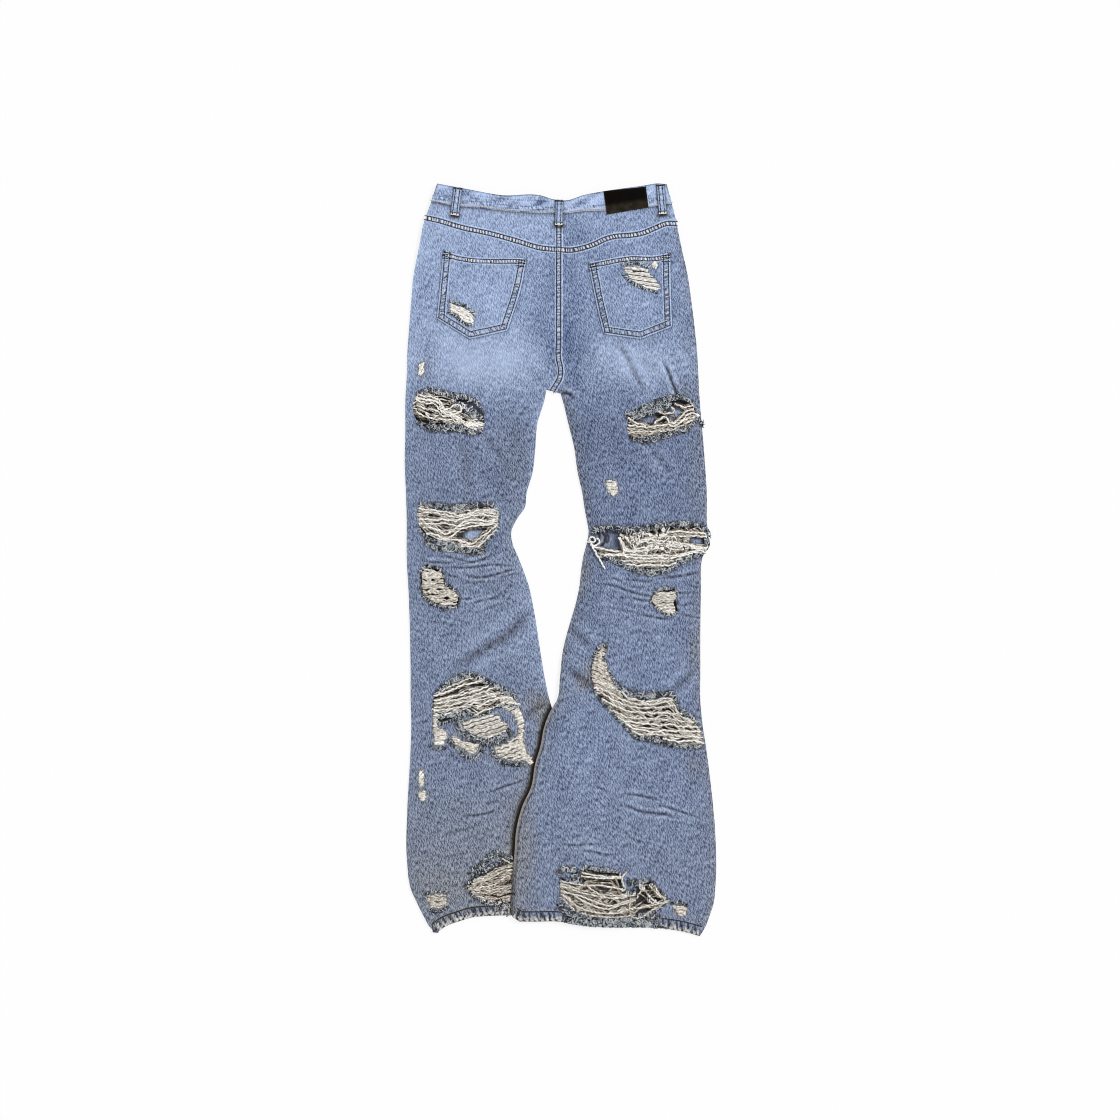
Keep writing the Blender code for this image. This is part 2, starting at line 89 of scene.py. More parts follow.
# How pale (0 indigo, 1 faded out) and how grey the cloth is, down the left and the right half.
WASH = table(
    "y left right left_grey right_grey",
    (575, 0.64, 0.68, 0.05, 0.05), (520, 0.60, 0.42, 0.02, 0.02), (430, 0.44, 0.33, 0.02, 0.04),
    (380, 0.43, 0.30, 0.05, 0.07), (310, 0.43, 0.34, 0.10, 0.10), (250, 0.28, 0.21, 0.16, 0.18),
    (190, 0.18, 0.11, 0.26, 0.22), (60, 0.15, 0.13, 0.29, 0.22), (-60, 0.17, 0.15, 0.31, 0.22),
    (-180, 0.16, 0.18, 0.29, 0.22), (-330, 0.15, 0.18, 0.42, 0.24), (-460, 0.10, 0.18, 0.72, 0.34),
    (-580, 0.10, 0.18, 0.80, 0.40),
)
# Soft places that are paler (+) or deeper (-), with their reach across and along the leg.
FADES = table(
    "x y across along light grey",
    (-120, 300, 78, 34, 0.55, 0.20), (-150, 345, 55, 26, 0.20, 0.10), (-60, 318, 32, 40, 0.16, 0.05),
    (130, 300, 60, 30, 0.40, 0.15), (80, 318, 42, 30, 0.18, 0.05),
    (-110, 405, 38, 30, 0.12, 0.00), (112, 400, 42, 34, 0.08, 0.00), (-192, 415, 16, 70, 0.08, 0.00),
    (-10, 430, 30, 75, -0.20, -0.03), (10, 320, 34, 46, -0.32, -0.08), (-28, 330, 22, 50, -0.14, 0.00),
    (22, 490, 34, 24, -0.14, 0.00), (-70, 150, 30, 70, -0.22, 0.20), (-142, 140, 12, 50, -0.14, 0.10),
    (60, 200, 34, 60, -0.08, 0.00), (-100, -20, 90, 26, -0.05, 0.10), (140, -60, 70, 34, -0.04, 0.05),
    (-120, -120, 60, 60, 0.06, 0.00), (120, -120, 60, 50, 0.07, 0.00), (60, -300, 60, 60, 0.05, 0.00),
    # darker, greyer spots
    (-40, -216, 24, 16, -0.26, 0.40), (-28, -236, 14, 20, -0.26, 0.45), (36, -190, 14, 14, -0.30, 0.60),
    (44, -170, 10, 18, -0.20, 0.50), (206, -140, 12, 30, -0.12, 0.30), (36, -20, 12, 26, -0.14, 0.30),
    (186, 262, 14, 14, -0.16, 0.30), (-205, 296, 10, 22, -0.20, 0.20), (-14, 246, 12, 10, -0.20, 0.40),
    (-180, -500, 50, 30, -0.05, 0.20), (-50, -440, 14, 60, -0.10, 0.30), (206, -318, 14, 24, -0.14, 0.30),
    (-75, 30, 14, 30, -0.14, 0.20), (206, 120, 12, 60, -0.08, 0.20),
)

# Creases ------------------------------------------------------------------------------------------

# Soft folds worn into the cloth: half width, depth (negative stands up) and how dark the line is drawn:
# indigo kept in the crease and painted shade.
CREASES = table(
    "width depth dark line",
    # left knee
    (1.9, 1.0, 0.60, "-218 1, -200 -3, -185 -4, -168 -4, -156 -2"),
    (2.1, 1.1, 0.70, "-190 6, -172 5, -160 2, -148 -1, -135 -3, -122 0, -108 6, -95 11"),
    (1.7, 0.7, 0.50, "-158 -7, -145 -5, -132 -4"),
    (2.0, 1.0, 0.65, "-182 -12, -165 -11, -150 -12, -135 -11, -118 -9, -95 -7, -80 -9, -62 -8"),
    (1.6, 0.6, 0.45, "-178 -23, -165 -25, -152 -27"),
    (2.1, 1.2, 0.80, "-150 -19, -140 -24, -125 -27, -110 -25, -98 -22, -85 -18, -70 -14, -60 -12"),
    (1.7, 0.9, 0.65, "-98 -27, -85 -25, -75 -22, -60 -19"),
    (1.8, 0.5, 0.30, "-158 -33, -138 -34, -120 -33, -102 -34"),
    (1.6, 0.5, 0.35, "-168 -44, -155 -47, -138 -44"),
    (1.6, 0.6, 0.45, "-155 -60, -146 -60, -138 -59"),
    (1.9, 0.8, 0.60, "-142 -68, -130 -65, -118 -62, -105 -59, -95 -55, -85 -51"),
    (1.8, 0.6, 0.45, "-122 -79, -110 -74, -100 -70, -85 -65"),
    (1.8, 0.5, 0.30, "-207 -94, -190 -96, -172 -98"),
    (1.8, 0.5, 0.25, "-160 -92, -148 -96, -134 -94"),
    # right knee
    (1.9, 1.0, 0.65, "76 -26, 86 -29, 96 -34"),
    (1.9, 0.9, 0.60, "104 -30, 118 -31, 133 -33, 147 -30"),
    (2.1, 1.1, 0.70, "150 -28, 170 -26, 190 -24, 205 -21, 218 -19"),
    (2.1, 1.1, 0.70, "60 -36, 75 -38, 88 -41, 100 -46, 112 -50, 125 -53, 140 -56"),
    (1.6, 0.6, 0.40, "105 -41, 120 -42, 138 -41"),
    (1.9, 0.8, 0.60, "108 -58, 122 -61, 139 -63"),
    (1.8, 0.7, 0.45, "60 -72, 80 -74, 92 -75, 102 -79, 115 -80, 126 -80"),
    (2.1, 1.1, 0.75, "120 -83, 135 -86, 150 -89, 165 -91, 174 -89"),
    (1.8, 0.8, 0.60, "178 -49, 190 -51, 204 -50"),
    (1.8, 0.7, 0.50, "176 -66, 188 -70, 202 -68, 218 -71"),
    (1.9, 0.8, 0.60, "182 -82, 194 -85, 206 -88, 218 -90"),
    (1.6, 0.5, 0.35, "196 -38, 207 -41, 218 -42"),
    (3.0, 0.6, 0.15, "80 -100, 130 -112, 170 -110"),
    # lower left leg
    (1.9, 0.9, 0.75, "-113 -358, -100 -354, -88 -349, -75 -345, -62 -341, -52 -337"),
    (2.1, 1.0, 0.75, "-151 -394, -135 -393, -120 -391, -105 -387, -92 -381"),
    (1.6, 0.5, 0.35, "-158 -367, -146 -365, -137 -363"),
    (3.0, 0.9, 0.40, "-182 -426, -168 -419, -155 -417, -142 -413, -126 -409"),
    (2.0, 0.5, 0.25, "-150 -430, -128 -424, -108 -416, -90 -412"),
    (2.2, 0.6, 0.30, "-205 -452, -180 -456, -150 -452"),
    (2.0, 0.6, 0.30, "-190 -476, -165 -482, -145 -478"),
    # lower right leg
    (2.0, 0.9, 0.65, "3 -436, 20 -438, 40 -437, 62 -436"),
    (2.0, 0.9, 0.65, "30 -448, 45 -447, 60 -450, 75 -453, 90 -452"),
    (1.8, 0.6, 0.45, "38 -461, 48 -462, 60 -461"),
    (1.8, 0.7, 0.55, "54 -348, 65 -352, 76 -357"),
    (2.1, 1.0, 0.70, "96 -360, 115 -361, 130 -364, 151 -368"),
    (1.7, 0.5, 0.35, "45 -364, 60 -372, 70 -383"),
    (1.7, 0.5, 0.35, "54 -390, 66 -393, 80 -389"),
    (2.5, 1.2, 0.80, "94 -375, 110 -381, 125 -387, 145 -389, 160 -391, 179 -397"),
    (2.1, 1.1, 0.70, "150 -376, 165 -380, 180 -385, 195 -390, 217 -397"),
    (1.8, 0.6, 0.45, "168 -401, 180 -404, 194 -403"),
    (2.0, 0.6, 0.30, "94 -414, 105 -424, 115 -430, 131 -434"),
    (1.7, 0.5, 0.40, "118 -458, 126 -462, 136 -465"),
    # thighs, crotch and calf
    (2.6, 1.4, 1.00, "158 306, 166 291, 172 274, 178 260, 183 247"),
    (4.5, 1.0, 0.42, "85 336, 95 325, 104 310, 111 294, 120 277, 130 258"),
    (6.0, 0.7, 0.14, "118 312, 136 299, 153 284"),
    (6.0, 0.7, 0.16, "188 338, 197 318, 205 300"),
    (4.2, 0.9, 0.30, "135 177, 150 160, 160 148, 172 131"),
    (3.2, 1.2, 0.90, "2 257, 12 256, 21 251"),
    (5.0, 0.8, 0.14, "-18 262, -40 282, -58 306"),
    (4.0, 0.7, 0.12, "16 280, 28 304, 36 334"),
    (9.0, 1.3, 0.50, "-160 -167, -138 -150, -120 -139, -104 -129, -87 -120, -66 -100, -46 -80"),
    (7.0, 0.9, 0.45, "-56 -244, -35 -227, -19 -215"),
    (6.0, 0.8, 0.45, "14 -101, 34 -121, 50 -134"),
    (7.0, 0.9, 0.60, "12 -166, 34 -183, 52 -198"),
    (6.0, 0.8, 0.42, "170 -203, 190 -186, 208 -168"),
    (5.0, 0.8, 0.28, "-120 196, -102 174, -84 150"),
    (7.0, 1.2, 0.16, "-93 23, -62 84, -48 120"),
    (6.0, 0.9, 0.12, "-152 185, -146 140, -133 92"),
    (8.0, -1.2, 0.00, "-120 60, -86 108, -66 150"),
)

# Rips ---------------------------------------------------------------------------------------------

# Bands of loose weft yarns across a rip: how high they ride, and (x, y, width of the band) from end to end.
BUNDLES = grouped("rip lift path", {
    "thigh_left": [
        (1.2, "-221 256 4, -210 252 4, -198 251 5, -189 248 4, -184 241 3, -179 234 2.5, -173 230 2.5"),
        (0.6, "-221 248 8, -208 244 9, -197 243 12, -187 238 10, -178 228 8, -166 223 6, -156 218 5, "
            "-148 212 4, -136 209 4, -118 207 4"),
        (1.3, "-221 238 4, -208 233 4, -199 232 5, -190 229 4, -180 222 5, -165 219 5, -153 213 4, "
            "-147 210 3"),
        (0.4, "-221 227 9, -208 221 8, -195 217 8, -180 216 8, -166 215 6, -155 211 5, -146 209 4, "
            "-136 206 4, -118 203 4"),
        (1.6, "-157 218 2, -148 211 2, -140 212 3, -131 216 3, -119 220 3"),
        (1.8, "-152 213 2, -143 208 3, -134 208 3, -119 211 4"),
        (1.7, "-150 211 2, -142 205 3, -133 202 3, -122 199 3"),
        (2.2, "-180 229 3, -171 233 4, -163 238 4, -155 238 3, -151 234 3, -155 228 3, -162 224 3, "
            "-170 222 3"),
    ],
    "knee_left": [
        (0.8, "-217 80 8, -205 77 7, -190 76 7, -176 74 6, -165 71 5, -155 68 4, -146 70 4, -133 74 5, "
            "-120 77 5, -96 76 6"),
        (1.4, "-217 71 8, -203 73 4, -190 72 4, -176 69 4, -163 66 4, -152 67 3, -140 70 4, -125 72 4, "
            "-96 71 4"),
        (0.6, "-217 62 8, -200 62 5, -185 62 6, -170 61 5, -160 60 4, -150 64 4, -137 68 4, -118 69 5, "
            "-95 67 5"),
        (1.5, "-217 55 8, -200 56 7, -185 56 7, -170 55 7, -160 53 6, -150 57 4, -137 61 4, -124 62 4, "
            "-112 59 4, -95 64 4"),
        (0.9, "-210 50 5, -198 49 4, -190 47 3.5, -183 42 3, -174 40 3, -168 43 4, -160 49 5, -150 54 5, "
            "-138 57 5, -112 56 4, -95 61 4"),
        (1.6, "-206 41 5, -194 40 5, -185 35 5, -176 33 5, -168 36 6, -160 42 7, -150 48 8, -137 52 7, "
            "-122 53 7, -95 57 5"),
        (0.3, "-190 33 3, -178 31 4, -166 31 6, -154 30 6, -143 27 5, -136 23 5"),
        (1.8, "-96 53 6, -106 47 6, -116 39 7, -126 31 7, -134 26 6, -152 23 4"),
        (1.0, "-98 47 4, -106 40 4, -112 33 4, -119 26 4, -128 22 4, -152 21 3"),
    ],
    "shin_left": [
        (0.6, "-187 -204 4, -172 -196 5, -158 -190 5, -146 -184 5, -128 -182 4"),
        (1.4, "-194 -209 4, -178 -204 4, -165 -199 4, -150 -193 4, -138 -189 4, -118 -186 4"),
        (1.0, "-194 -216 5, -178 -213 4, -162 -209 3.5, -148 -206 4, -134 -202 5, -122 -199 5, "
            "-108 -192 4"),
        (1.6, "-194 -221 3.5, -176 -218 3, -160 -215 3, -146 -212 3.5, -132 -208 4, -118 -203 5, "
            "-104 -197 5, -88 -198 4"),
        (0.8, "-194 -227 5, -178 -225 4, -163 -222 4, -150 -219 4, -138 -216 4, -126 -212 4, -113 -208 4, "
            "-98 -205 5, -80 -203 4"),
        (1.2, "-194 -233 5, -178 -230 4, -165 -228 3, -152 -226 3, -140 -223 3, -130 -218 2"),
        (0.5, "-195 -241 7, -180 -237 6, -168 -236 5, -156 -234 4, -146 -231 3"),
        (1.5, "-128 -228 4, -118 -222 6, -110 -216 7, -98 -213 6, -84 -212 6, -66 -211 7"),
        (0.9, "-134 -240 3, -122 -234 3, -112 -230 4, -98 -224 4, -84 -220 6, -60 -222 9"),
    ],
    "hem_left": [
        (0.8, "-134 -493 3, -120 -488 5, -108 -483 6, -98 -477 7, -88 -473 7, -66 -470 8"),
        (1.5, "-136 -498 4, -120 -494 6, -108 -489 6, -99 -485 6, -91 -480 6, -66 -477 6"),
        (0.9, "-138 -503 4, -120 -503 4, -108 -501 4, -99 -498 3, -92 -493 3, -82 -486 3, -66 -478 3"),
        (1.3, "-141 -506 4, -125 -507 5, -112 -506 6, -100 -505 8, -88 -504 8, -60 -499 8"),
        (0.7, "-140 -511 6, -125 -512 7, -112 -511 6, -100 -511 5, -88 -510 5, -60 -506 4"),
        (1.2, "-134 -517 7, -122 -518 8, -110 -520 6, -100 -521 5, -92 -522 4, -85 -519 4, -60 -518 5"),
        (3.4, "-90 -460 3, -84 -462 3, -77 -465 3"),
        (0.6, "-128 -522 4, -115 -524 5, -102 -526 5, -92 -526 5, -60 -523 5"),
    ],
    "thigh_right": [
        (0.7, "105 196 10, 120 197 10, 135 198 9, 150 198 8, 165 199 6, 178 202 5, 188 207 4, 200 214 4, "
            "216 218 4"),
        (1.3, "105 207 9, 118 206 8, 130 204 6, 142 205 5, 154 207 5, 166 208 5, 176 206 4, 184 211 4, "
            "194 217 4, 216 222 4"),
        (1.6, "105 219 4, 112 213 4, 118 209 5, 124 210 4, 132 205 3"),
        (1.8, "174 208 3, 180 214 3, 186 220 3, 190 226 3, 196 230 5, 206 231 6"),
        (1.4, "180 207 3, 186 212 2.5, 192 219 3, 197 225 4, 213 223 4"),
        (1.0, "176 240 3, 186 236 5, 194 236 6, 206 238 6"),
        (2.2, "145 210 2, 150 214 3, 156 218 4, 161 221 4, 165 217 4, 168 210 3"),
        (2.4, "150 229 2, 157 225 2, 164 226 3, 171 225 2.5, 175 230 2, 172 236 2"),
    ],
    "knee_right": [
        (1.0, "56 8 4, 75 8 3, 90 8 4, 110 6 9, 130 5 9, 150 5 9, 170 5 8, 190 8 7, 205 12 6, 224 14 8"),
        (0.5, "84 0 4, 105 -1 6, 125 -2 7, 145 -2 6, 165 -2 5, 190 2 5"),
        (1.2, "94 -6 4, 115 -8 4, 135 -8 4, 152 -8 4, 168 -8 3, 180 -4 2"),
        (1.4, "91 34 3, 96 25 4, 100 17 5, 108 14 6, 120 15 8, 135 18 9, 150 20 10, 165 20 10, 180 18 9, "
            "200 20 8, 224 18 6"),
        (2.0, "118 24 6, 130 30 8, 145 28 9, 160 27 9, 175 25 8, 190 24 6, 208 20 4"),
        (1.1, "126 41 4, 140 38 5, 155 38 4, 168 42 6, 182 44 6, 198 43 5, 226 40 4"),
        (1.7, "131 33 5, 150 35 5, 165 36 6, 180 37 6, 192 36 5, 205 37 3, 226 36 3"),
        (1.9, "225 37 3, 227 27 4, 225 18 5, 216 10 5"),
        (1.8, "90 35 3, 95 27 4, 98 18 5, 97 8 5"),
        (1.5, "100 37 4, 106 29 5, 113 22 5, 118 14 5"),
        (2.0, "45 28 2, 51 20 2, 62 18 2, 76 15 1.5, 90 12 1.5"),
        (3.4, "43 27 2, 47 35 2, 52 36 2, 55 32 2, 51 28 2, 46 29 2"),
        (3.6, "45 28 3, 52 18 3, 58 6 4, 64 -6 4, 70 -13 3"),
        (3.2, "47 24 3, 54 22 3, 60 27 2, 58 34 2"),
    ],
    "shin_right": [
        (1.0, "52 -186 8, 68 -190 8, 82 -196 6, 95 -204 5, 108 -212 5, 125 -217 4, 140 -217 4, 155 -214 4, "
            "172 -213 4"),
        (1.5, "52 -196 7, 66 -199 6, 80 -206 6, 92 -213 6, 108 -219 5, 125 -222 4, 142 -222 4, 156 -219 4, "
            "174 -216 4"),
        (0.8, "56 -204 4, 66 -206 4, 78 -213 6, 92 -220 6, 108 -225 4, 124 -227 3.5, 140 -227 3.5, "
            "155 -226 3.5, 178 -224 5"),
        (1.4, "64 -212 5, 76 -220 7, 90 -227 6, 104 -232 5, 118 -234 4, 134 -235 4, 150 -235 4, "
            "165 -236 4, 188 -236 4"),
        (0.9, "74 -228 6, 86 -235 7, 98 -240 6, 112 -243 5, 126 -244 4, 140 -244 4, 154 -245 5, "
            "168 -245 5, 182 -247 5, 208 -250 5"),
        (1.5, "88 -241 5, 98 -247 5, 110 -249 4, 124 -251 3, 138 -252 4, 152 -254 4, 166 -253 4, "
            "180 -255 4, 212 -257 4"),
        (0.8, "100 -252 5, 118 -260 6, 134 -263 5, 148 -264 4, 162 -262 4, 176 -263 3.5, 190 -263 3.5, "
            "217 -264 4"),
        (1.3, "110 -263 4, 124 -268 4, 138 -268 4, 152 -268 4, 164 -269 4, 178 -270 4, 192 -271 4, "
            "220 -273 5"),
        (0.7, "158 -274 3, 172 -278 4, 184 -279 4, 196 -278 4, 208 -278 4, 222 -283 4"),
    ],
    "hem_right": [
        (1.0, "33 -483 14, 45 -485 10, 60 -487 7, 75 -488 6, 95 -488 5"),
        (0.4, "0 -493 4, 12 -495 5, 25 -498 5, 40 -500 5, 60 -500 5, 75 -502 6, 90 -505 6, 106 -508 4"),
        (1.0, "0 -499 6, 15 -503 8, 30 -508 9, 45 -512 9, 60 -515 9, 75 -517 8, 90 -517 7, 104 -514 6, "
            "116 -511 4"),
        (1.7, "38 -497 3, 50 -507 4, 60 -514 4, 75 -519 4, 90 -520 4, 104 -517 4, 116 -514 3"),
        (0.7, "2 -508 9, 18 -513 7, 30 -516 5, 42 -520 4, 54 -525 5, 68 -530 6, 82 -531 5, 96 -527 4, "
            "116 -520 4"),
        (1.8, "22 -515 3, 36 -524 4, 48 -530 4, 60 -534 5, 76 -536 5, 88 -532 4, 98 -528 3, 116 -522 3"),
        (0.9, "4 -514 7, 16 -524 7, 28 -533 6, 42 -538 6, 56 -542 7, 70 -543 7, 85 -543 6, 98 -540 5, "
            "116 -534 5"),
        (1.4, "8 -524 5, 20 -536 5, 32 -542 4, 46 -546 4, 60 -548 4, 74 -549 4, 90 -549 4, 108 -547 4"),
        (0.8, "110 -537 6, 122 -535 5, 134 -532 4, 146 -530 4, 156 -527 3, 168 -524 4"),
        (2.6, "109 -519 2, 107 -528 2, 107 -538 2, 110 -548 2.5, 118 -551 2.5, 130 -546 2.5, 142 -538 2.5, "
            "152 -532 2.5, 168 -523 3"),
        (3.2, "102 -478 2, 98 -484 2, 95 -492 2, 98 -500 2, 100 -506 2, 95 -509 2"),
        (1.6, "120 -495 3, 128 -505 4, 134 -513 4, 140 -520 4, 150 -528 3"),
        (1.1, "138 -498 8, 146 -507 8, 152 -514 6, 162 -521 4"),
    ],
})
# Single yarns that fill a rip between its bands: how many, which share of its height they keep to (0 at its
# lower edge), how much they sway, from where to where they run and how light their tone is.
STRAYS = table(
    "rip count low high sway start stop tone",
    ("thigh_left", 12, 0.05, 1.0, 1.2, -230, -158, 0.45), ("thigh_left", 8, 0.0, 0.45, 1.2, -180, -110, 0.40),
    ("knee_left", 12, 0.0, 1.0, 1.0, -230, -150, 0.50), ("knee_left", 10, 0.55, 1.0, 0.9, -165, -90, 0.50),
    ("knee_left", 5, 0.0, 0.2, 1.0, -160, -105, 0.40),
    ("shin_left", 9, 0.0, 0.75, 0.5, -200, -120, 0.50), ("shin_left", 9, 0.1, 0.8, 0.7, -140, -55, 0.50),
    ("hem_left", 5, 0.0, 0.72, 0.5, -150, -50, 0.50),
    ("thigh_right", 14, 0.0, 0.42, 1.1, 100, 220, 0.35), ("thigh_right", 3, 0.3, 0.9, 1.6, 185, 220, 0.40),
    ("knee_right", 18, 0.1, 1.0, 1.8, 92, 200, 0.35), ("knee_right", 6, 0.0, 0.3, 0.8, 60, 228, 0.35),
    ("knee_right", 5, 0.65, 1.0, 1.0, 180, 228, 0.45),
    ("shin_right", 20, 0.0, 1.0, 0.8, 76, 228, 0.60),
    ("hem_right", 24, 0.0, 0.8, 1.1, -5, 116, 0.50), ("hem_right", 8, 0.1, 0.8, 1.0, 100, 172, 0.45),
)
# Loose curls of yarn that lie over the others: their middle, how far round they lie, how many and how long.
TANGLES = table(
    "rip x y across along count length",
    ("knee_right", 154, 25, 36, 13, 46, 24), ("knee_right", 114, 28, 12, 9, 8, 20),
    ("thigh_left", -180, 236, 26, 9, 7, 22), ("thigh_left", -148, 228, 9, 7, 4, 16),
    ("hem_left", -84, -532, 7, 5, 9, 16),
    ("hem_right", 130, -512, 14, 12, 8, 24),
)
# How much lower than clean cotton the tone of the yarns of a place is, which draws them darker.
DULL = {"hem_left": 0.42, "hem_right": 0.20, "thigh_right": 0.12, "shin_right": 0.04,
        "hem_spot_left": 0.28, "hem_spot_right": 0.14, "ring_middle": 0.14, "ring_low": 0.12,
        "ring_corner": 0.12, "ring_side": 0.10, "ring_arm": 0.08, "shin_tail": 0.20,
        "below_knee_left": 0.17, "below_knee_right": 0.14}
# Slits between the yarns of a worn place, with painted shade on the cloth in them.
SLITS = table(
    "width line",
    (0.9, "113 443, 121 442.5, 129 443.5"), (0.3, "114 437, 126 436.5, 138 438"),
    (0.4, "-207 -52, -192 -54, -180 -49, -172 -44"), (0.4, "-180 -63, -174 -61, -168 -58"),
    (0.2, "-208 -36, -198 -37, -184 -31"), (1.3, "-118 -501, -105 -500, -92 -501, -84 -499, -74 -492"),
    (1.3, "-116 -515, -105 -516, -94 -519, -80 -514, -70 -513"),
    (1.1, "-106 -490, -98 -487, -90 -481, -80 -475"),
)

# Worn places: dense short weft yarns on the face of the cloth, where the indigo warp is rubbed away.
# rows is how many yarns lie together, gap the groove after them and wave how much they sway.
WORN = table(
    "place host angle rows gap wave outline",
    ("below_knee_left", "rip", 3, 4, 0.9, 1.3, "-213 -17, -206 -12, -184 -17, -178 -28, -178 -38, "
        "-167 -43, -155 -56, -158 -68, -176 -71, -195 -66, -210 -54, -213 -38"),
    ("below_knee_right", "rip", 3, 3, 0.7, 0.5, "140 -58, 147 -51, 160 -47, 178 -49, 180 -57, 175 -63, "
        "176 -71, 180 -82, 166 -84, 155 -79, 147 -71, 141 -66"),
    ("ring_arm", "back_leg_left", 8, 4, 0.7, 0.6, "-196 -240, -188 -242, -188 -258, -176 -262, -174 -272, "
        "-178 -283, -193 -285, -195 -262"),
    ("ring_middle", "back_leg_left", 17, 3, 1.3, 0.7, "-151 -248, -134 -242, -112 -238, -93 -238, "
        "-91 -248, -79 -253, -82 -263, -95 -268, -110 -275, -126 -272, -140 -266, -150 -257"),
    ("ring_low", "back_leg_left", -14, 3, 1.0, 0.6, "-168 -269, -160 -272, -150 -279, -126 -281, "
        "-122 -286, -130 -298, -140 -297, -150 -290, -164 -281"),
    ("ring_side", "back_leg_left", 20, 3, 0.8, 0.5, "-94 -215, -84 -206, -72 -209, -65 -223, -58 -237, "
        "-55 -248, -55 -262, -57 -271, -54 -283, -53 -294, -45 -303, -40 -311, -46 -317, -58 -306, "
        "-62 -296, -66 -284, -67 -276, -65 -268, -65 -258, -67 -249, -72 -238, -80 -231, -90 -227"),
    ("ring_corner", "back_leg_left", 18, 3, 1.2, 0.9, "-102 -290, -88 -283, -75 -277, -65 -270, -58 -272, "
        "-54 -284, -52 -296, -45 -304, -56 -308, -75 -309, -87 -305, -97 -301"),
    ("shin_tail", "back_leg_right", -22, 3, 0.8, 0.9, "73 -130, 65 -134, 54 -145, 49 -161, 47 -175, "
        "51 -191, 56 -202, 70 -204, 90 -202, 84 -193, 77 -177, 73 -164, 68 -150, 72 -137"),
    ("hem_left", "rip", 13, 6, 1.3, 0.6, "-139 -503, -128 -493, -115 -486, -100 -479, -85 -471, -74 -465, "
        "-64 -463, -64 -526, -75 -526, -90 -528, -105 -527, -120 -524, -130 -520, -138 -512"),
    ("thigh_spot", "back_leg_left", 60, 3, 0.6, 0.4, "-218 302, -209 304, -209 292, -214 281, -218 284"),
    ("shin_spot_upper", "back_leg_left", 60, 3, 0.6, 0.4, "-217 -322, -210 -324, -209 -338, -212 -350, "
        "-217 -348"),
    ("shin_spot_lower", "back_leg_left", 0, 3, 0.6, 0.4, "-219 -355, -208 -354, -204 -364, -209 -371, "
        "-217 -368"),
    ("hem_spot_left", "back_leg_left", 5, 3, 1.0, 0.8, "-206 -516, -190 -513, -174 -514, -173 -528, "
        "-184 -536, -199 -535"),
    ("thigh_spot_right", "back_leg_right", 0, 3, 0.7, 0.4, "70 121, 78 124, 88 119, 90 105, 83 98, 73 104"),
    ("hem_spot_right", "back_leg_right", -4, 3, 0.8, 0.4, "172 -532, 188 -530, 196 -536, 194 -546, "
        "182 -548"),
    ("pocket_lens", "back_pocket_left", -28, 3, 0.7, 0.5, "-170 396, -158 391, -142 385, -132 374, "
        "-133 363, -146 365, -158 376, -170 383"),
    ("pocket_patch", "back_pocket_right", -8, 3, 1.2, 0.4, "97 450, 116 452, 134 448, 141 437, 149 430, "
        "155 418, 146 414, 130 419, 114 427, 101 440"),
    ("pocket_spot", "back_pocket_right", 40, 3, 0.6, 0.3, "141 460, 148 460, 151 452, 147 446, 141 452"),
)
# Frayed warp beside the worn places: the line it is rooted on, which way it lies and how far it reaches.
FRAYS = grouped("host turn reach line", {
    "back_leg_left": [
        (-1, 11, "-152 -252, -140 -266, -126 -273, -110 -276, -95 -269, -80 -262"),
        (1, 7, "-190 -245, -176 -243, -160 -241, -146 -238, -136 -232"),
        (-1, 4, "-169 -275, -155 -290, -146 -299, -130 -302, -122 -291"),
        (-1, 4, "-196 -285, -186 -288, -176 -286"),
        (-1, 5, "-103 -293, -92 -306, -76 -312, -58 -311"),
        (1, 5, "-110 -277, -96 -283, -84 -280"),
        (1, 3, "-207 -516, -190 -511, -173 -513"),
        (-1, 3, "-200 -537, -186 -539, -173 -532"),
        (-1, 7, "-160 245, -145 240, -130 231, -120 221"),
        (-1, 6, "-162 239, -146 234, -133 226, -124 217"),
        (1, 6, "-150 226, -138 221, -124 214"),
        (-1, 7, "-204 32, -192 23, -175 20, -155 19, -138 15, -118 15"),
        (1, 2.6, "-139 -484, -128 -474, -118 -464, -108 -455, -94 -450, -80 -452"),
        (-1, 2.2, "-136 -486, -126 -474, -116 -465, -106 -456, -94 -452, -80 -455"),
        (-1, 6, "-94 -528, -84 -529, -70 -526"),
    ],
    "back_leg_right": [
        (-1, 11, "106 227, 122 232, 145 241, 168 249"),
        (-1, 8, "112 223, 128 228, 148 236, 166 243"),
        (-1, 4, "134 227, 150 232, 160 236"),
        (1, 6, "206 219, 214 211, 219 203"),
        (1, 5, "221 48, 226 42, 226 36"),
        (1, 6, "52 40, 60 43, 70 43"),
        (-1, 8, "3 -528, 16 -541, 36 -549, 66 -553, 98 -551, 120 -545, 142 -538"),
        (-1, 7, "6 -540, 36 -553, 76 -556, 116 -554, 150 -546"),
        (-1, 5, "8 -550, 50 -558, 100 -558, 150 -556"),
        (-1, 4, "10 -554, 50 -561, 100 -561, 150 -562"),
        (1, 8, "108 -500, 116 -499, 124 -504"),
        (1, 9, "0 -484, 10 -479, 24 -486"),
        (1, 3, "172 -530, 184 -528, 196 -534"),
        (-1, 5, "156 -560, 166 -566, 176 -569"),
    ],
    "back_pocket_left": [
        (1, 1.5, "-170 397, -156 392, -141 386, -131 375"),
        (-1, 1.5, "-170 383, -158 376, -146 365, -134 362"),
    ],
    "back_pocket_right": [
        (1, 4, "95 452, 116 454, 136 449"),
        (-1, 2, "99 440, 112 428, 130 419, 148 413"),
    ],
})
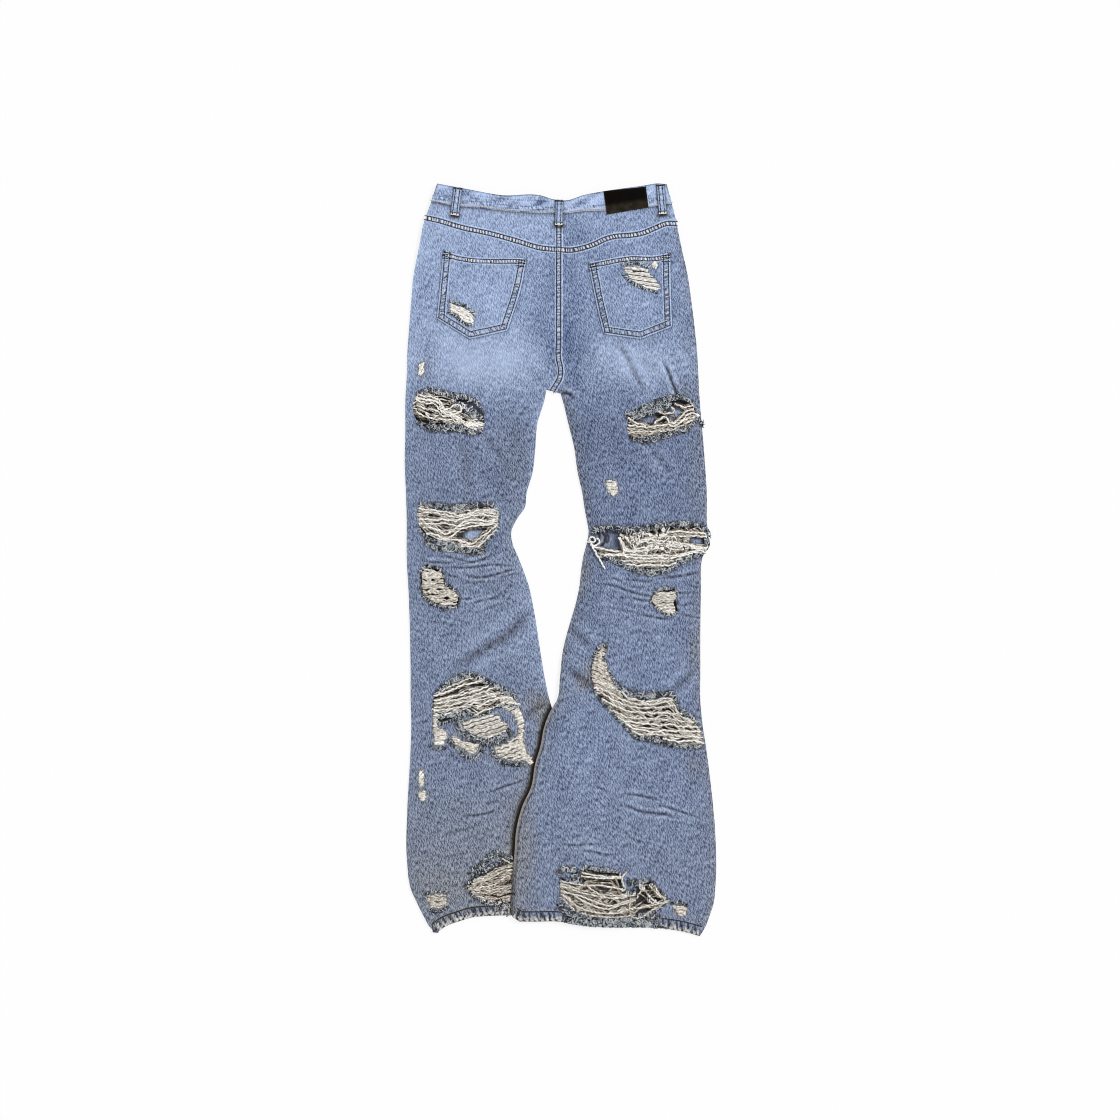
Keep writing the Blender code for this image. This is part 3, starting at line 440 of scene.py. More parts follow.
# Where the front of the jeans shows through a rip: centre, reach, how much painted shade and how much painted
# light it takes.
GAPS = table(
    "side x y across along shade pale",
    ("left", -150, 229, 8, 8, 0.05, 0.3), ("left", -133, 37, 13, 11, 0.0, 0.6),
    ("left", -103, -471, 24, 10, 0.05, 0.3),
    ("left", -158, -213, 12, 3, 0.05, 0.1), ("left", -130, 230, 20, 12, 0.12, 0.2),
    ("right", 137, 213, 11, 6, 0.05, 0.2), ("right", 177, 223, 15, 10, 0.0, 0.9),
    ("right", 74, 28, 22, 17, 0.32, 0.0),
    ("right", 211, 28, 8, 5, 0.05, 0.3), ("right", 108, -496, 12, 18, 0.02, 0.5),
    ("right", 70, -512, 34, 7, 0.30, 0.1),
)
# Folds in the cloth that shows through a rip, drawn only as painted shade in them and painted light beside
# them: how dark, and the line.
PAINTED_FOLDS = table(
    "side dark line",
    ("right", 0.7, "58 43, 61 38, 60 31, 55 26"), ("right", 0.9, "66 42, 70 36, 69 28, 64 22"),
    ("right", 0.6, "72 42, 75 35, 73 27"),
)


def measure(name, what, millimetres):
    """A length that can be set."""
    return FloatProperty(name=name, description=what, default=millimetres * MM, unit="LENGTH")


class JeansSizes(bpy.types.PropertyGroup):
    """Sizes that a user would change."""
    cell: measure("Net", "Spacing of the points in the cloth", 4.2)
    fine_cell: measure("Fine net", "Spacing of the points near folds and seams", 1.85)
    denim: measure("Denim", "Thickness of one layer of denim", 1.2)
    puff: measure("Fullness", "How far the back of a leg stands up in its middle", 3.2)
    yarn: measure("Weft yarn", "Diameter of a loose weft yarn", 1.4)
    cord: measure("Weft cord", "Spacing of the cords that the loose yarns gather in", 4.4)
    warp: measure("Warp yarn", "Diameter of a frayed warp yarn", 1.25)
    stitch: measure("Stitch", "Length of one stitch, drawn long so that a row reads as a line", 4.8)
    stitch_pitch: measure("Stitch pitch", "Distance from stitch to stitch", 4.1)
    thread: measure("Thread", "Width of the topstitching thread", 1.9)


def size_of(name):
    """One of the sizes, in millimetres."""
    return getattr(bpy.context.scene.jeans_sizes, name) / MM


def linear(code):
    """An sRGB hex colour as linear values."""
    parts = [int(code[i:i + 2], 16) / 255 for i in (1, 3, 5)]
    return tuple(p / 12.92 if p <= 0.04045 else ((p + 0.055) / 1.055) ** 2.4 for p in parts)


def colour(name, what, code):
    """A colour that can be set."""
    return FloatVectorProperty(name=name, description=what, default=linear(code), subtype="COLOR",
                               min=0, max=1)


class JeansColours(bpy.types.PropertyGroup):
    """Colours that a user would change."""
    indigo: colour("Indigo", "Denim that is hardly faded", "#58698F")
    faded: colour("Faded", "Denim washed out to a pale blue", "#B5C9ED")
    grey: colour("Grey", "Denim dulled by wear", "#7C828E")
    weft: colour("Weft", "Cream cotton weft yarn", "#FDFCF8")
    # Painted shade: the colour given to weft yarns lying deep among the others.
    weft_deep_shade: colour("Dull weft", "Weft yarn deep between the others", "#3A2E20")
    weft_mid: colour("Soiled weft", "Weft yarn that has yellowed", "#BDB5A9")
    # Near black: dye that a warp yarn kept, and painted shade among the curls.
    warp_dye_and_shade: colour("Dark warp", "Frayed warp yarn that kept its dye", "#1B1C20")
    warp_mid: colour("Faded warp", "Frayed warp yarn that has faded", "#8B939F")
    warp_light: colour("Light warp", "Frayed warp yarn that has bleached", "#CBCECC")
    thread_brown: colour("Brown thread", "Topstitching thread", "#2C2419")
    thread_cream: colour("Cream thread", "Waistband thread", "#CBC5B2")
    leather: colour("Leather", "Waist patch", "#060503")


# Plane geometry -----------------------------------------------------------------------------------

def smooth(low, high, value):
    """0 below low, 1 above high and a soft S between, on arrays too."""
    t = np.clip((value - low) / (high - low), 0.0, 1.0)
    return t * t * (3.0 - 2.0 * t)


def bell(value, middle, width):
    """1 at the middle, falling off softly on both sides of it."""
    return np.exp(-((value - middle) / width) ** 2)


def lengths_along(line):
    """Distance along a line at each of its points."""
    return np.concatenate([[0.0], np.cumsum(np.linalg.norm(np.diff(line, axis=0), axis=1))])


def resampled(line, step):
    """Even points along a line, ends kept."""
    along = lengths_along(line)
    count = max(int(round(along[-1] / step)), 1)
    at = np.linspace(0.0, along[-1], count + 1)
    return np.stack([np.interp(at, along, line[:, k]) for k in range(line.shape[1])], axis=1)


def curve_through(points, step):
    """A smooth curve through points (of any width), as even short steps."""
    p = np.asarray(points, float)
    along = lengths_along(p[:, :2])
    slope = np.gradient(p, along, axis=0)
    made = []
    for i in range(len(p) - 1):
        span = along[i + 1] - along[i]
        t = np.linspace(0.0, 1.0, max(int(span / step), 2), endpoint=False)[:, None]
        made.append((2 * t ** 3 - 3 * t ** 2 + 1) * p[i] + (t ** 3 - 2 * t ** 2 + t) * span * slope[i]
                    + (3 * t ** 2 - 2 * t ** 3) * p[i + 1] + (t ** 3 - t ** 2) * span * slope[i + 1])
    return resampled(np.concatenate([*made, p[-1:]]), step)


def rounded(loop, step, corner):
    """A closed loop with its slight turns rounded and its corners kept."""
    before = np.roll(loop, 1, axis=0)
    after = np.roll(loop, -1, axis=0)
    first = np.arctan2(*(loop - before).T[::-1])
    second = np.arctan2(*(after - loop).T[::-1])
    turn = np.abs((second - first + math.pi) % (2 * math.pi) - math.pi)
    corners = list(np.nonzero(turn > math.radians(corner))[0])
    if not corners:
        wrapped = np.concatenate([loop[-3:], loop, loop[:4]])
        curve = curve_through(wrapped, step)
        start = np.argmin(np.linalg.norm(curve[:len(curve) // 2] - loop[0], axis=1))
        stop = len(curve) // 2 + np.argmin(np.linalg.norm(curve[len(curve) // 2:] - loop[0], axis=1))
        return curve[start:stop]
    loop = np.roll(loop, -corners[0], axis=0)
    corners = [c - corners[0] for c in corners] + [len(loop)]
    loop = np.concatenate([loop, loop[:1]])
    runs = [curve_through(loop[a:b + 1], step)[:-1] for a, b in zip(corners, corners[1:])]
    return np.concatenate(runs)


def inside(loops, points):
    """True where points are within closed loops, holes counted out."""
    order = np.argsort(points[:, 1])
    x, y = points[order].T
    hit = np.zeros(len(points), bool)
    for loop in loops:
        for (x0, y0), (x1, y1) in zip(loop, np.roll(loop, -1, axis=0)):
            level = slice(*np.searchsorted(y, sorted((y0, y1))))
            if y0 != y1:
                hit[level] ^= x[level] < x0 + (y[level] - y0) * (x1 - x0) / (y1 - y0)
    return hit[np.argsort(order)]


FAR = 60.0            # distances beyond this are not told apart


def to_segments(starts, ends, points, reach):
    """Distance from points to the nearest of some segments, and how far along them it is."""
    order = np.argsort(points[:, 1])
    x, y = points[order].T
    best = np.full(len(points), 4.0 * FAR ** 2)
    along = np.zeros(len(points))
    gone = 0.0
    for (x0, y0), (x1, y1) in zip(starts, ends):
        dx, dy = x1 - x0, y1 - y0
        length = math.hypot(dx, dy)
        level = slice(*np.searchsorted(y, (min(y0, y1) - reach, max(y0, y1) + reach)))
        across, up = x[level] - x0, y[level] - y0
        t = np.clip((across * dx + up * dy) / max(length, 1e-6) ** 2, 0.0, 1.0)
        square = (across - t * dx) ** 2 + (up - t * dy) ** 2
        closer = square < best[level]
        best[level] = np.where(closer, square, best[level])
        along[level] = np.where(closer, gone + t * length, along[level])
        gone += length
    back = np.argsort(order)
    return np.sqrt(best)[back], along[back]


def nearest(line, points, closed=False, reach=FAR):
    """Distance from points to a line, and how far along it the nearest place is."""
    starts, ends = (line, np.roll(line, -1, axis=0)) if closed else (line[:-1], line[1:])
    low, high = line.min(axis=0) - reach, line.max(axis=0) + reach
    close = np.nonzero(((points > low) & (points < high)).all(axis=1))[0]
    best = np.full(len(points), 2.0 * FAR)
    along = np.zeros(len(points))
    best[close], along[close] = to_segments(starts, ends, points[close], reach)
    return best, along


def waves(at, wavelength, seed, count=5):
    """Smooth random values from about -1 to 1 over a line or a plane."""
    rng = np.random.default_rng(abs(seed))
    at = np.asarray(at, float)
    total = 0.0
    for _ in range(count):
        size = wavelength * rng.uniform(0.7, 1.5)
        phase = rng.uniform(0, math.tau)
        if at.ndim == 1:
            total = total + np.sin(math.tau * at / size + phase)
        else:
            angle = rng.uniform(0, math.tau)
            total = total + np.sin(math.tau * (at @ [math.cos(angle), math.sin(angle)]) / size + phase)
    return total / math.sqrt(count * 1.2)


def normals(line, closed=False):
    """Unit normals to the left of a line's direction."""
    if closed:
        d = np.roll(line, -1, axis=0) - np.roll(line, 1, axis=0)
    else:
        d = np.gradient(line, axis=0)
    d /= np.maximum(np.linalg.norm(d, axis=1), 1e-9)[:, None]
    return np.stack([-d[:, 1], d[:, 0]], axis=1)


# Frame --------------------------------------------------------------------------------------------

@lru_cache(None)
def node_faces(name):
    """A CAD node's points in millimetres, with its upper and its lower faces."""
    net = bmesh.new()
    net.from_mesh(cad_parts[name].data)
    bmesh.ops.remove_doubles(net, verts=net.verts, dist=1e-6)
    net.verts.index_update()
    points = np.array([v.co for v in net.verts]) / MM
    up = [[v.index for v in f.verts] for f in net.faces if f.normal.z > 0.6]
    down = [[v.index for v in f.verts] for f in net.faces if f.normal.z < -0.6]
    net.free()
    return points, up, down


@lru_cache(None)
def node_loops(name):
    """The outline and the holes of a CAD node seen from above, the outline first."""
    points, up, _ = node_faces(name)
    sides = {(f[i], f[(i + 1) % 3]) for f in up for i in range(3)}
    following = {a: b for a, b in sides if (b, a) not in sides}
    loops = []
    while following:
        start, at = following.popitem()
        loop = [start]
        while at != start:
            loop.append(at)
            at = following.pop(at)
        loops.append(points[loop, :2])
    return sorted(loops, key=lambda loop: -np.ptp(loop[:, 1]) * np.ptp(loop[:, 0]))


def outline(name, corner=32.0):
    """The outline of a CAD node, smooth between its corners."""
    return rounded(node_loops(name)[0], 3.0, corner)


def torn(loop, seed):
    """The edge of a hole, rounded and then ragged."""
    edge = rounded(loop, 1.7, 100.0)
    along = lengths_along(edge)
    return edge + normals(edge, True) * (0.8 * waves(along, 6.0, seed))[:, None]


@lru_cache(None)
def holes(side):
    """The edges of the rips in a back leg."""
    return [torn(loop, 31 + i) for i, loop in enumerate(node_loops("back_leg_" + side)[1:])]


def shared_edge(name, other, reach=1.3):
    """The run of a piece's outline that lies along another piece, in order."""
    loop = outline(name)
    along = nearest(outline(other), loop, True)[0] < reach
    start = np.nonzero(along & ~np.roll(along, 1))[0]
    runs = []
    for first in start:
        run = []
        i = first
        while along[i % len(loop)] and len(run) < len(loop):
            run.append(loop[i % len(loop)])
            i += 1
        runs.append(np.array(run))
    return max(runs, key=lambda run: lengths_along(run)[-1])


@lru_cache(None)
def rim(side):
    """Where one half of the back ends: its folded sides, the waist and the hem, not its seams."""
    names = ["back_leg_" + side, "yoke_" + side, "waistband_back"]
    other = "back_leg_left" if side == "right" else "back_leg_right"
    segments = []
    for name in names:
        loop = outline(name)
        middle = (loop + np.roll(loop, -1, axis=0)) / 2
        free = np.ones(len(loop), bool)
        for neighbour in [*names, other, "yoke_left", "yoke_right"]:
            if neighbour != name:
                beside = nearest(outline(neighbour), middle, True)[0] < 1.5
                if neighbour == other:
                    beside &= middle[:, 1] > CROTCH
                free &= ~beside
        segments += [(a, b) for a, b, ok in zip(loop, np.roll(loop, -1, axis=0), free) if ok]
    return segments


def rim_distance(side, points):
    """Distance to where one half of the back ends."""
    starts, ends = zip(*rim(side))
    return to_segments(starts, ends, points, FAR)[0]


def under_right_leg(points):
    """1 where the left leg lies under the right one, 0 well away from it."""
    gap = distance_inside(outline("back_leg_right"), points)
    return (1.0 - smooth(4.0, 46.0, gap)) * (1.0 - smooth(-150, -70, points[:, 1]))


# Cloth --------------------------------------------------------------------------------------------

def lay_net(loops, cell, fine_cell=None, fine=None):
    """Points and triangles inside loops (outline first, then holes or inner lines), finer where fine says."""
    outer = loops[0]
    low, high = outer.min(axis=0), outer.max(axis=0)

    def grid(size):
        rows = np.arange(low[1], high[1], size * 0.866)
        columns = np.arange(low[0], high[0], size)
        y, x = np.meshgrid(rows, columns, indexing="ij")
        x = x + np.where(np.arange(len(rows)) % 2, size / 2, 0.0)[:, None]
        points = np.stack([x.ravel(), y.ravel()], axis=1)
        return points[inside([outer], points)]

    points = grid(cell)
    if fine:
        extra = grid(fine_cell)
        points = np.concatenate([points[~fine(points)], extra[fine(extra)]])
    clear = np.full(len(points), True)
    for loop in loops:
        step = np.linalg.norm(loop - np.roll(loop, 1, axis=0), axis=1).mean()
        clear &= nearest(loop, points, True, cell)[0] > min(cell, step) * 0.5
    points = points[clear]
    flat, edges = [], []
    for loop in loops:
        first = len(flat)
        flat += [Vector(p) for p in loop]
        edges += [(first + i, first + (i + 1) % len(loop)) for i in range(len(loop))]
    flat += [Vector(p) for p in points]
    net = delaunay_2d_cdt(flat, edges, [], 0, 1e-4)
    points = np.array([tuple(p) for p in net[0]])
    faces = np.array([f for f in net[2] if len(f) == 3])
    keep = inside([outer], points[faces].mean(axis=1))
    return points, faces[keep]


def drop_to(tree, points, high=200.0):
    """Heights of a surface under points, from above."""
    heights = np.empty(len(points))
    down = Vector((0.0, 0.0, -1.0))
    for i, (x, y) in enumerate(points):
        hit = tree.ray_cast(Vector((x, y, high)), down)[0]
        if hit is None:
            hit = tree.find_nearest(Vector((x, y, 8.0)))[0]
        heights[i] = hit.z
    return heights


def relaxed(values, faces, rounds):
    """Values over a net, averaged with their neighbours and kept round its edge."""
    pinned = np.zeros(len(values), bool)
    pinned[border(faces).ravel()] = True
    pairs = np.concatenate([faces[:, [0, 1]], faces[:, [1, 2]], faces[:, [2, 0]]])
    pairs = np.concatenate([pairs, pairs[:, ::-1]])
    count = np.maximum(np.bincount(pairs[:, 0], minlength=len(values)), 1)
    for _ in range(rounds):
        mean = np.bincount(pairs[:, 0], weights=values[pairs[:, 1]], minlength=len(values)) / count
        values = np.where(pinned, values, mean)
    return values


def surface(points, top, faces):
    """A net at its heights, to look places up on."""
    return BVHTree.FromPolygons(np.column_stack([points, top]).tolist(), faces.tolist())


def node_surface(name, below=False):
    """The upper or the lower side of a CAD node, to look places up on."""
    points, up, down = node_faces(name)
    return BVHTree.FromPolygons(points.tolist(), down if below else up)


def border(faces):
    """Directed edges round a net."""
    edges = np.concatenate([faces[:, [0, 1]], faces[:, [1, 2]], faces[:, [2, 0]]])
    known = {tuple(e) for e in edges}
    return np.array([e for e in known if (e[1], e[0]) not in known])


def crease_lines(side):
    """The creases of one half, as smooth lines."""
    chosen = []
    for row in CREASES:
        middle = row.line[len(row.line) // 2]
        in_left = middle[0] < 0 if middle[1] > -330 else middle[0] < -48
        if in_left == (side == "left"):
            chosen.append((row, curve_through(row.line, 3.0)))
    return chosen


def creased(side, points):
    """Height that the creases give, their darkness (indigo kept in them and painted shade) and the paleness
    of their worn ridges.
    """
    height = np.zeros(len(points))
    dark = np.zeros(len(points))
    pale = np.zeros(len(points))
    for row, line in crease_lines(side):
        distance, along = nearest(line, points)
        total = lengths_along(line)[-1]
        taper = smooth(0.0, 0.25, along / total) * (1.0 - smooth(0.75, 1.0, along / total)) * 0.75 + 0.25
        taper = taper * (1.0 + 0.25 * waves(along, 16.0, int(total * 10)))
        trough = bell(distance, 0.0, row.width) * taper
        ridge = bell(distance, 2.2 * row.width, 1.1 * row.width) * taper
        height += row.depth * (0.55 * ridge - trough)
        dark += row.dark * bell(distance, 0.0, 0.75 * row.width) * taper
        pale += 0.45 * row.dark * ridge
    return height, np.clip(dark, 0.0, 0.9), pale


def rise(side, points):
    """Extra height of the back of the jeans over the frame: full in the middle, none at a folded side."""
    shape = 1.0 - np.exp(-rim_distance(side, points) / 8.0)
    y = points[:, 1]
    along = 0.35 + 0.65 * (1.0 - smooth(250, 480, y)) * smooth(-579, -500, y)
    height = size_of("puff") * shape * along
    if side == "left":
        height *= 1.0 - under_right_leg(points)
    return height + 0.28 * waves(points, 46.0, 5) * shape + 0.12 * waves(points, 17.0, 6) * shape


Cloth = namedtuple("Cloth", "points faces top tree")


@lru_cache(None)
def back_leg(side):
    """The net of a back leg over its rips too, with its heights in millimetres."""
    name = "back_leg_" + side
    outer = outline(name)
    edges = holes(side)
    lines = crease_lines(side)
    hem = hem_line(side)

    def fine(points):
        near = np.zeros(len(points), bool)
        for row, line in lines:
            if row.width < 4:
                near |= nearest(line, points, reach=15.0)[0] < row.width * 3.4
        for edge in edges:
            near |= nearest(edge, points, True, 5.0)[0] < 3.0
        for rip in rips_of(side):
            near |= distance_inside(fringe_zone(rip), points, 5.0) < 3.0
        for row in WORN:
            if row.host == name:
                near |= distance_inside(row.outline, points, 5.0) < 4.0
        for row in FRAYS:
            if row.host == name:
                near |= nearest(curve_through(row.line, 4.0), points, reach=20.0)[0] < row.reach
        near |= nearest(pocket_outline("back_pocket_" + side), points, True, 5.0)[0] < 3.5
        below = points[:, 1] < OVERLAP[1]
        if side == "left":
            near |= (nearest(outline("back_leg_right"), points, True, 12.0)[0] < 9.0) & below
        else:
            near |= (nearest(outer, points, True, 12.0)[0] < 8.0) & below & (points[:, 0] < 0)
        for edge in edges:
            near &= distance_inside(edge, points, 5.0) > -3.0
        near |= nearest(hem, points, reach=5.0)[0] < 3.0
        return near

    points, faces = lay_net([outer, *edges], size_of("cell"), size_of("fine_cell"), fine)
    solid, up, _ = node_faces(name)
    corners = [solid]
    polygons = [list(f) for f in up]
    for rip in rips_of(side):
        mat, _, under = node_faces("rip_" + rip)
        first = sum(len(c) for c in corners)
        corners.append(mat - [0, 0, CLEARANCE])
        polygons += [[first + i for i in reversed(f)] for f in under]
    tree = BVHTree.FromPolygons(np.concatenate(corners).tolist(), polygons)
    top = relaxed(drop_to(tree, points), faces, 40)
    top += rise(side, points) + creased(side, points)[0]
    top += HEM_THICK * (1.0 - smooth(HEM_DEPTH - 2.5, HEM_DEPTH + 0.5, nearest(hem, points)[0]))
    return Cloth(points, faces, top, surface(points, top, faces))


CLEARANCE = 0.3       # between cloth and what is sewn on it
HEM_DEPTH = 15.0      # the turned-up hem
HEM_THICK = 0.7       # its extra height
# The runs of hem that are still whole.
HEMS = table("side start stop", ("left", -193, -56), ("right", -76, 6), ("right", 152, 213))


def rips_of(side):
    """The names of the rips in one leg."""
    return [n[4:] for n in sorted(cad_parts) if n.startswith("rip_") and n.endswith(side)]


@lru_cache(None)
def hem_line(side):
    """The bottom edge of a leg."""
    loop = outline("back_leg_" + side)
    low = loop[:, 1] < (-545 if side == "left" else -548)
    ordered = loop[low]
    return ordered[np.argsort(ordered[:, 0])]


def wash(points):
    """How pale and how grey the cloth is at points."""
    rows = sorted(WASH, key=lambda row: row.y)
    ys = [row.y for row in rows]
    x, y = points.T
    half = smooth(-22.0, 26.0, x + np.where(y < -250, 50.0, 0.0))
    light = np.interp(y, ys, [row.left for row in rows]) * (1 - half)
    light += np.interp(y, ys, [row.right for row in rows]) * half
    grey = np.interp(y, ys, [row.left_grey for row in rows]) * (1 - half)
    grey += np.interp(y, ys, [row.right_grey for row in rows]) * half
    for spot in FADES:
        reach = np.exp(-((x - spot.x) / spot.across) ** 2 - ((y - spot.y) / spot.along) ** 2)
        light += spot.light * reach
        grey += spot.grey * reach
    light += 0.05 * waves(points, 60.0, 11) + 0.04 * waves(points, 22.0, 12)
    return light, grey


# Objects ------------------------------------------------------------------------------------------

def placed(name, data):
    """An object in the scene."""
    obj = bpy.data.objects.new(name, data)
    bpy.context.scene.collection.objects.link(obj)
    return obj


def drawn(name, points, edges, faces, values):
    """A mesh from points in millimetres, with values at its points."""
    mesh = bpy.data.meshes.new(name)
    mesh.from_pydata((points * MM).tolist(), edges, faces)
    for key, value in values.items():
        mesh.attributes.new(key, "FLOAT", "POINT").data.foreach_set("value", np.asarray(value, np.float32))
    return mesh


def shell(name, points, faces, top, thickness, material, **values):
    """A closed layer of cloth under its upper face."""
    used = np.unique(faces)
    order = np.full(len(points), -1)
    order[used] = np.arange(len(used))
    faces = order[faces]
    points, top = points[used], top[used]
    count = len(points)
    upper = np.column_stack([points, top])
    lower = np.column_stack([points, top - thickness])
    edges = border(faces)
    skirt = np.concatenate([
        np.column_stack([edges[:, 1], edges[:, 0], edges[:, 0] + count]),
        np.column_stack([edges[:, 1], edges[:, 0] + count, edges[:, 1] + count])])
    everything = np.concatenate([faces, faces[:, ::-1] + count, skirt])
    both = {key: np.tile(value[used], 2) for key, value in values.items()}
    mesh = drawn(name, np.concatenate([upper, lower]), [], everything.tolist(), both)
    mesh.materials.append(material)
    mesh.shade_smooth()
    mesh.set_sharp_from_angle(angle=math.radians(50))
    return placed(name, mesh)


def look_of(light, grey, shade, bare=0.0, darkest=0.9, barest=0.9):
    """What the denim reads at its points: how pale, how grey, how dark and how bare it is."""
    level = np.zeros(len(light))
    return {"light": light, "grey": np.clip(grey + level, 0, 1), "shade": np.clip(shade + level, 0, darkest),
            "bare": np.clip(bare + level, 0, barest)}


def denim_piece(node, points, faces, top, look, thickness=None):
    """A finished layer of denim that stands for its CAD node."""
    obj = shell(node + "_cloth", points, faces, top, thickness or size_of("denim"), denim_material(), **look)
    return settle(obj, "denim", node)


def settle(obj, slot, *nodes):
    """A finished piece rides on the one body and stands for its CAD nodes, whose frame parts it hides; its
    slot is not used.
    """
    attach(obj, "root")
    if nodes:
        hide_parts(*nodes)
    return obj


# Materials ----------------------------------------------------------------------------------------

def add(tree, kind, inputs=None, **settings):
    """A node with its settings, and its inputs set or linked: to a socket, or to what a node gives."""
    made = tree.nodes.new(kind)
    for key, value in settings.items():
        setattr(made, key, value)
    for key, value in (inputs or {}).items():
        if isinstance(value, bpy.types.Node):
            value = value.outputs[2 if value.bl_idname == "ShaderNodeMix" else 0]
        if isinstance(value, bpy.types.NodeSocket):
            tree.links.new(value, made.inputs[key])
        else:
            made.inputs[key].default_value = value
    return made


def new_material(name):
    """An empty material and its tree."""
    material = bpy.data.materials.new(name)
    material.use_nodes = True
    material.node_tree.nodes.clear()
    return material, material.node_tree


def finished(material, look):
    """The material with its surface."""
    surface = add(material.node_tree, "ShaderNodeBsdfPrincipled", look)
    add(material.node_tree, "ShaderNodeOutputMaterial", {"Surface": surface})
    return material


def rgba(values):
    """A colour with its opacity."""
    return (*values, 1.0)


@lru_cache(None)
def denim_material():
    """Stonewashed indigo twill: a matt blue broken up by pale weft flecks in steep slanting streaks."""
    colours = bpy.context.scene.jeans_colours
    material, tree = new_material("stonewashed indigo twill")
    place = add(tree, "ShaderNodeTexCoord").outputs["Object"]
    light, grey, shade, bare = (add(tree, "ShaderNodeAttribute", attribute_name=name).outputs["Fac"]
                                for name in ("light", "grey", "shade", "bare"))
    # The real twill repeats every 0.8 mm; its streaks are drawn 1.3 mm wide and 6.2 mm long to be seen.
    turned = add(tree, "ShaderNodeMapping", {"Vector": place, "Rotation": (0, 0, math.radians(17)),
                                             "Scale": (0.0013, 0.0062, 1.0)}, vector_type="TEXTURE")
    streak = add(tree, "ShaderNodeTexNoise", {"Vector": turned, "Scale": 1.0, "Detail": 0.0})
    fleck = add(tree, "ShaderNodeTexNoise", {"Vector": place, "Scale": 1000 / 1.4, "Detail": 0.0})
    slub = add(tree, "ShaderNodeTexNoise", {"Vector": place, "Scale": 1000 / 11.0, "Detail": 1.0})
    both = add(tree, "ShaderNodeMath", {0: streak, 1: 2.0, 2: fleck}, operation="MULTIPLY_ADD")
    grain = add(tree, "ShaderNodeMapRange", {0: both, 1: 1.09, 2: 1.91})
    cloud = add(tree, "ShaderNodeMapRange", {0: slub, 1: 0.3, 2: 0.7, 3: 0.93, 4: 1.07})
    # The more the cloth has faded, the less its flecks stand out.
    dips = add(tree, "ShaderNodeMix", {0: light, 6: (0.27, 0.28, 0.33, 1), 7: (0.79, 0.80, 0.84, 1)},
               data_type="RGBA")
    flecks = add(tree, "ShaderNodeMix", {0: light, 6: (1.86, 1.77, 1.60, 1), 7: (1.20, 1.18, 1.14, 1)},
                 data_type="RGBA")
    twill = add(tree, "ShaderNodeMix", {0: grain, 6: dips, 7: flecks}, data_type="RGBA")
    face = rgba(colours.indigo)
    # shade mixes in a brown-black, which is painted shade, and where creases and pucker dips keep their
    # indigo, that too; bare mixes in the rubbed-through weft.
    for share, coat, how in ((light, rgba(colours.faded), "MIX"), (grey, rgba(colours.grey), "MIX"),
                             (1.0, cloud, "MULTIPLY"), (1.0, twill, "MULTIPLY"),
                             (shade, rgba(linear("#251C10")), "MIX"), (bare, rgba(linear("#F4EEE2")), "MIX")):
        face = add(tree, "ShaderNodeMix", {0: share, 6: face, 7: coat}, data_type="RGBA", blend_type=how)
    bump = add(tree, "ShaderNodeBump", {"Height": grain, "Strength": 0.5, "Distance": 0.0005})
    return finished(material, {"Base Color": face, "Roughness": 0.9, "Specular IOR Level": 0.1,
                               "Sheen Weight": 0.03, "Normal": bump})


@lru_cache(None)
def yarn_material(kind):
    """Loose cotton yarn, soft and matt: cream weft, or warp whose indigo has partly gone."""
    colours = bpy.context.scene.jeans_colours
    dark, middle, pale = {"weft": (colours.weft_deep_shade, colours.weft_mid, colours.weft),
                          "warp": (colours.warp_dye_and_shade, colours.warp_mid, colours.warp_light)}[kind]
    material, tree = new_material("loose cotton " + kind)
    place = add(tree, "ShaderNodeTexCoord").outputs["Object"]
    # The ply's twist is 0.7 mm long; it is drawn 2.5 mm long.
    twist = add(tree, "ShaderNodeTexNoise", {"Vector": place, "Scale": 1000 / 2.5, "Detail": 1.0})
    change = add(tree, "ShaderNodeMapRange", {0: twist, 1: 0.3, 2: 0.7, 3: -0.2, 4: 0.2})
    level = add(tree, "ShaderNodeAttribute", attribute_name="tone").outputs["Fac"]
    tone = add(tree, "ShaderNodeMath", {0: level, 1: change}, operation="ADD")
    # Low tone is dark: painted shade on weft yarns lying deep among the others, and on warp its kept dye with
    # painted shade among the curls.
    face = rgba(dark)
    for low, high, coat in ((0.0, 0.5, middle), (0.5, 1.0, pale)):
        share = add(tree, "ShaderNodeMapRange", {0: tone, 1: low, 2: high})
        face = add(tree, "ShaderNodeMix", {0: share, 6: face, 7: rgba(coat)}, data_type="RGBA")
    bump = add(tree, "ShaderNodeBump", {"Height": twist, "Strength": 0.4, "Distance": 0.0003})
    return finished(material, {"Base Color": face, "Roughness": 0.95, "Specular IOR Level": 0.15,
                               "Normal": bump})


@lru_cache(None)
def thread_material(kind):
    """Spun polyester topstitching thread: a slight shine on a twisted strand."""
    colours = bpy.context.scene.jeans_colours
    shade, worn = {"brown": (colours.thread_brown, "#4E4638"),
                   "cream": (colours.thread_cream, "#A29C8C")}[kind]
    material, tree = new_material("spun polyester thread " + kind)
    place = add(tree, "ShaderNodeTexCoord").outputs["Object"]
    wear = add(tree, "ShaderNodeTexNoise", {"Vector": place, "Scale": 1000 / 7.0, "Detail": 1.0})
    share = add(tree, "ShaderNodeMapRange", {0: wear, 1: 0.35, 2: 0.65, 3: 0.0, 4: 0.5})
    face = add(tree, "ShaderNodeMix", {0: share, 6: rgba(shade), 7: rgba(linear(worn))}, data_type="RGBA")
    return finished(material, {"Base Color": face, "Roughness": 0.7, "Specular IOR Level": 0.1})


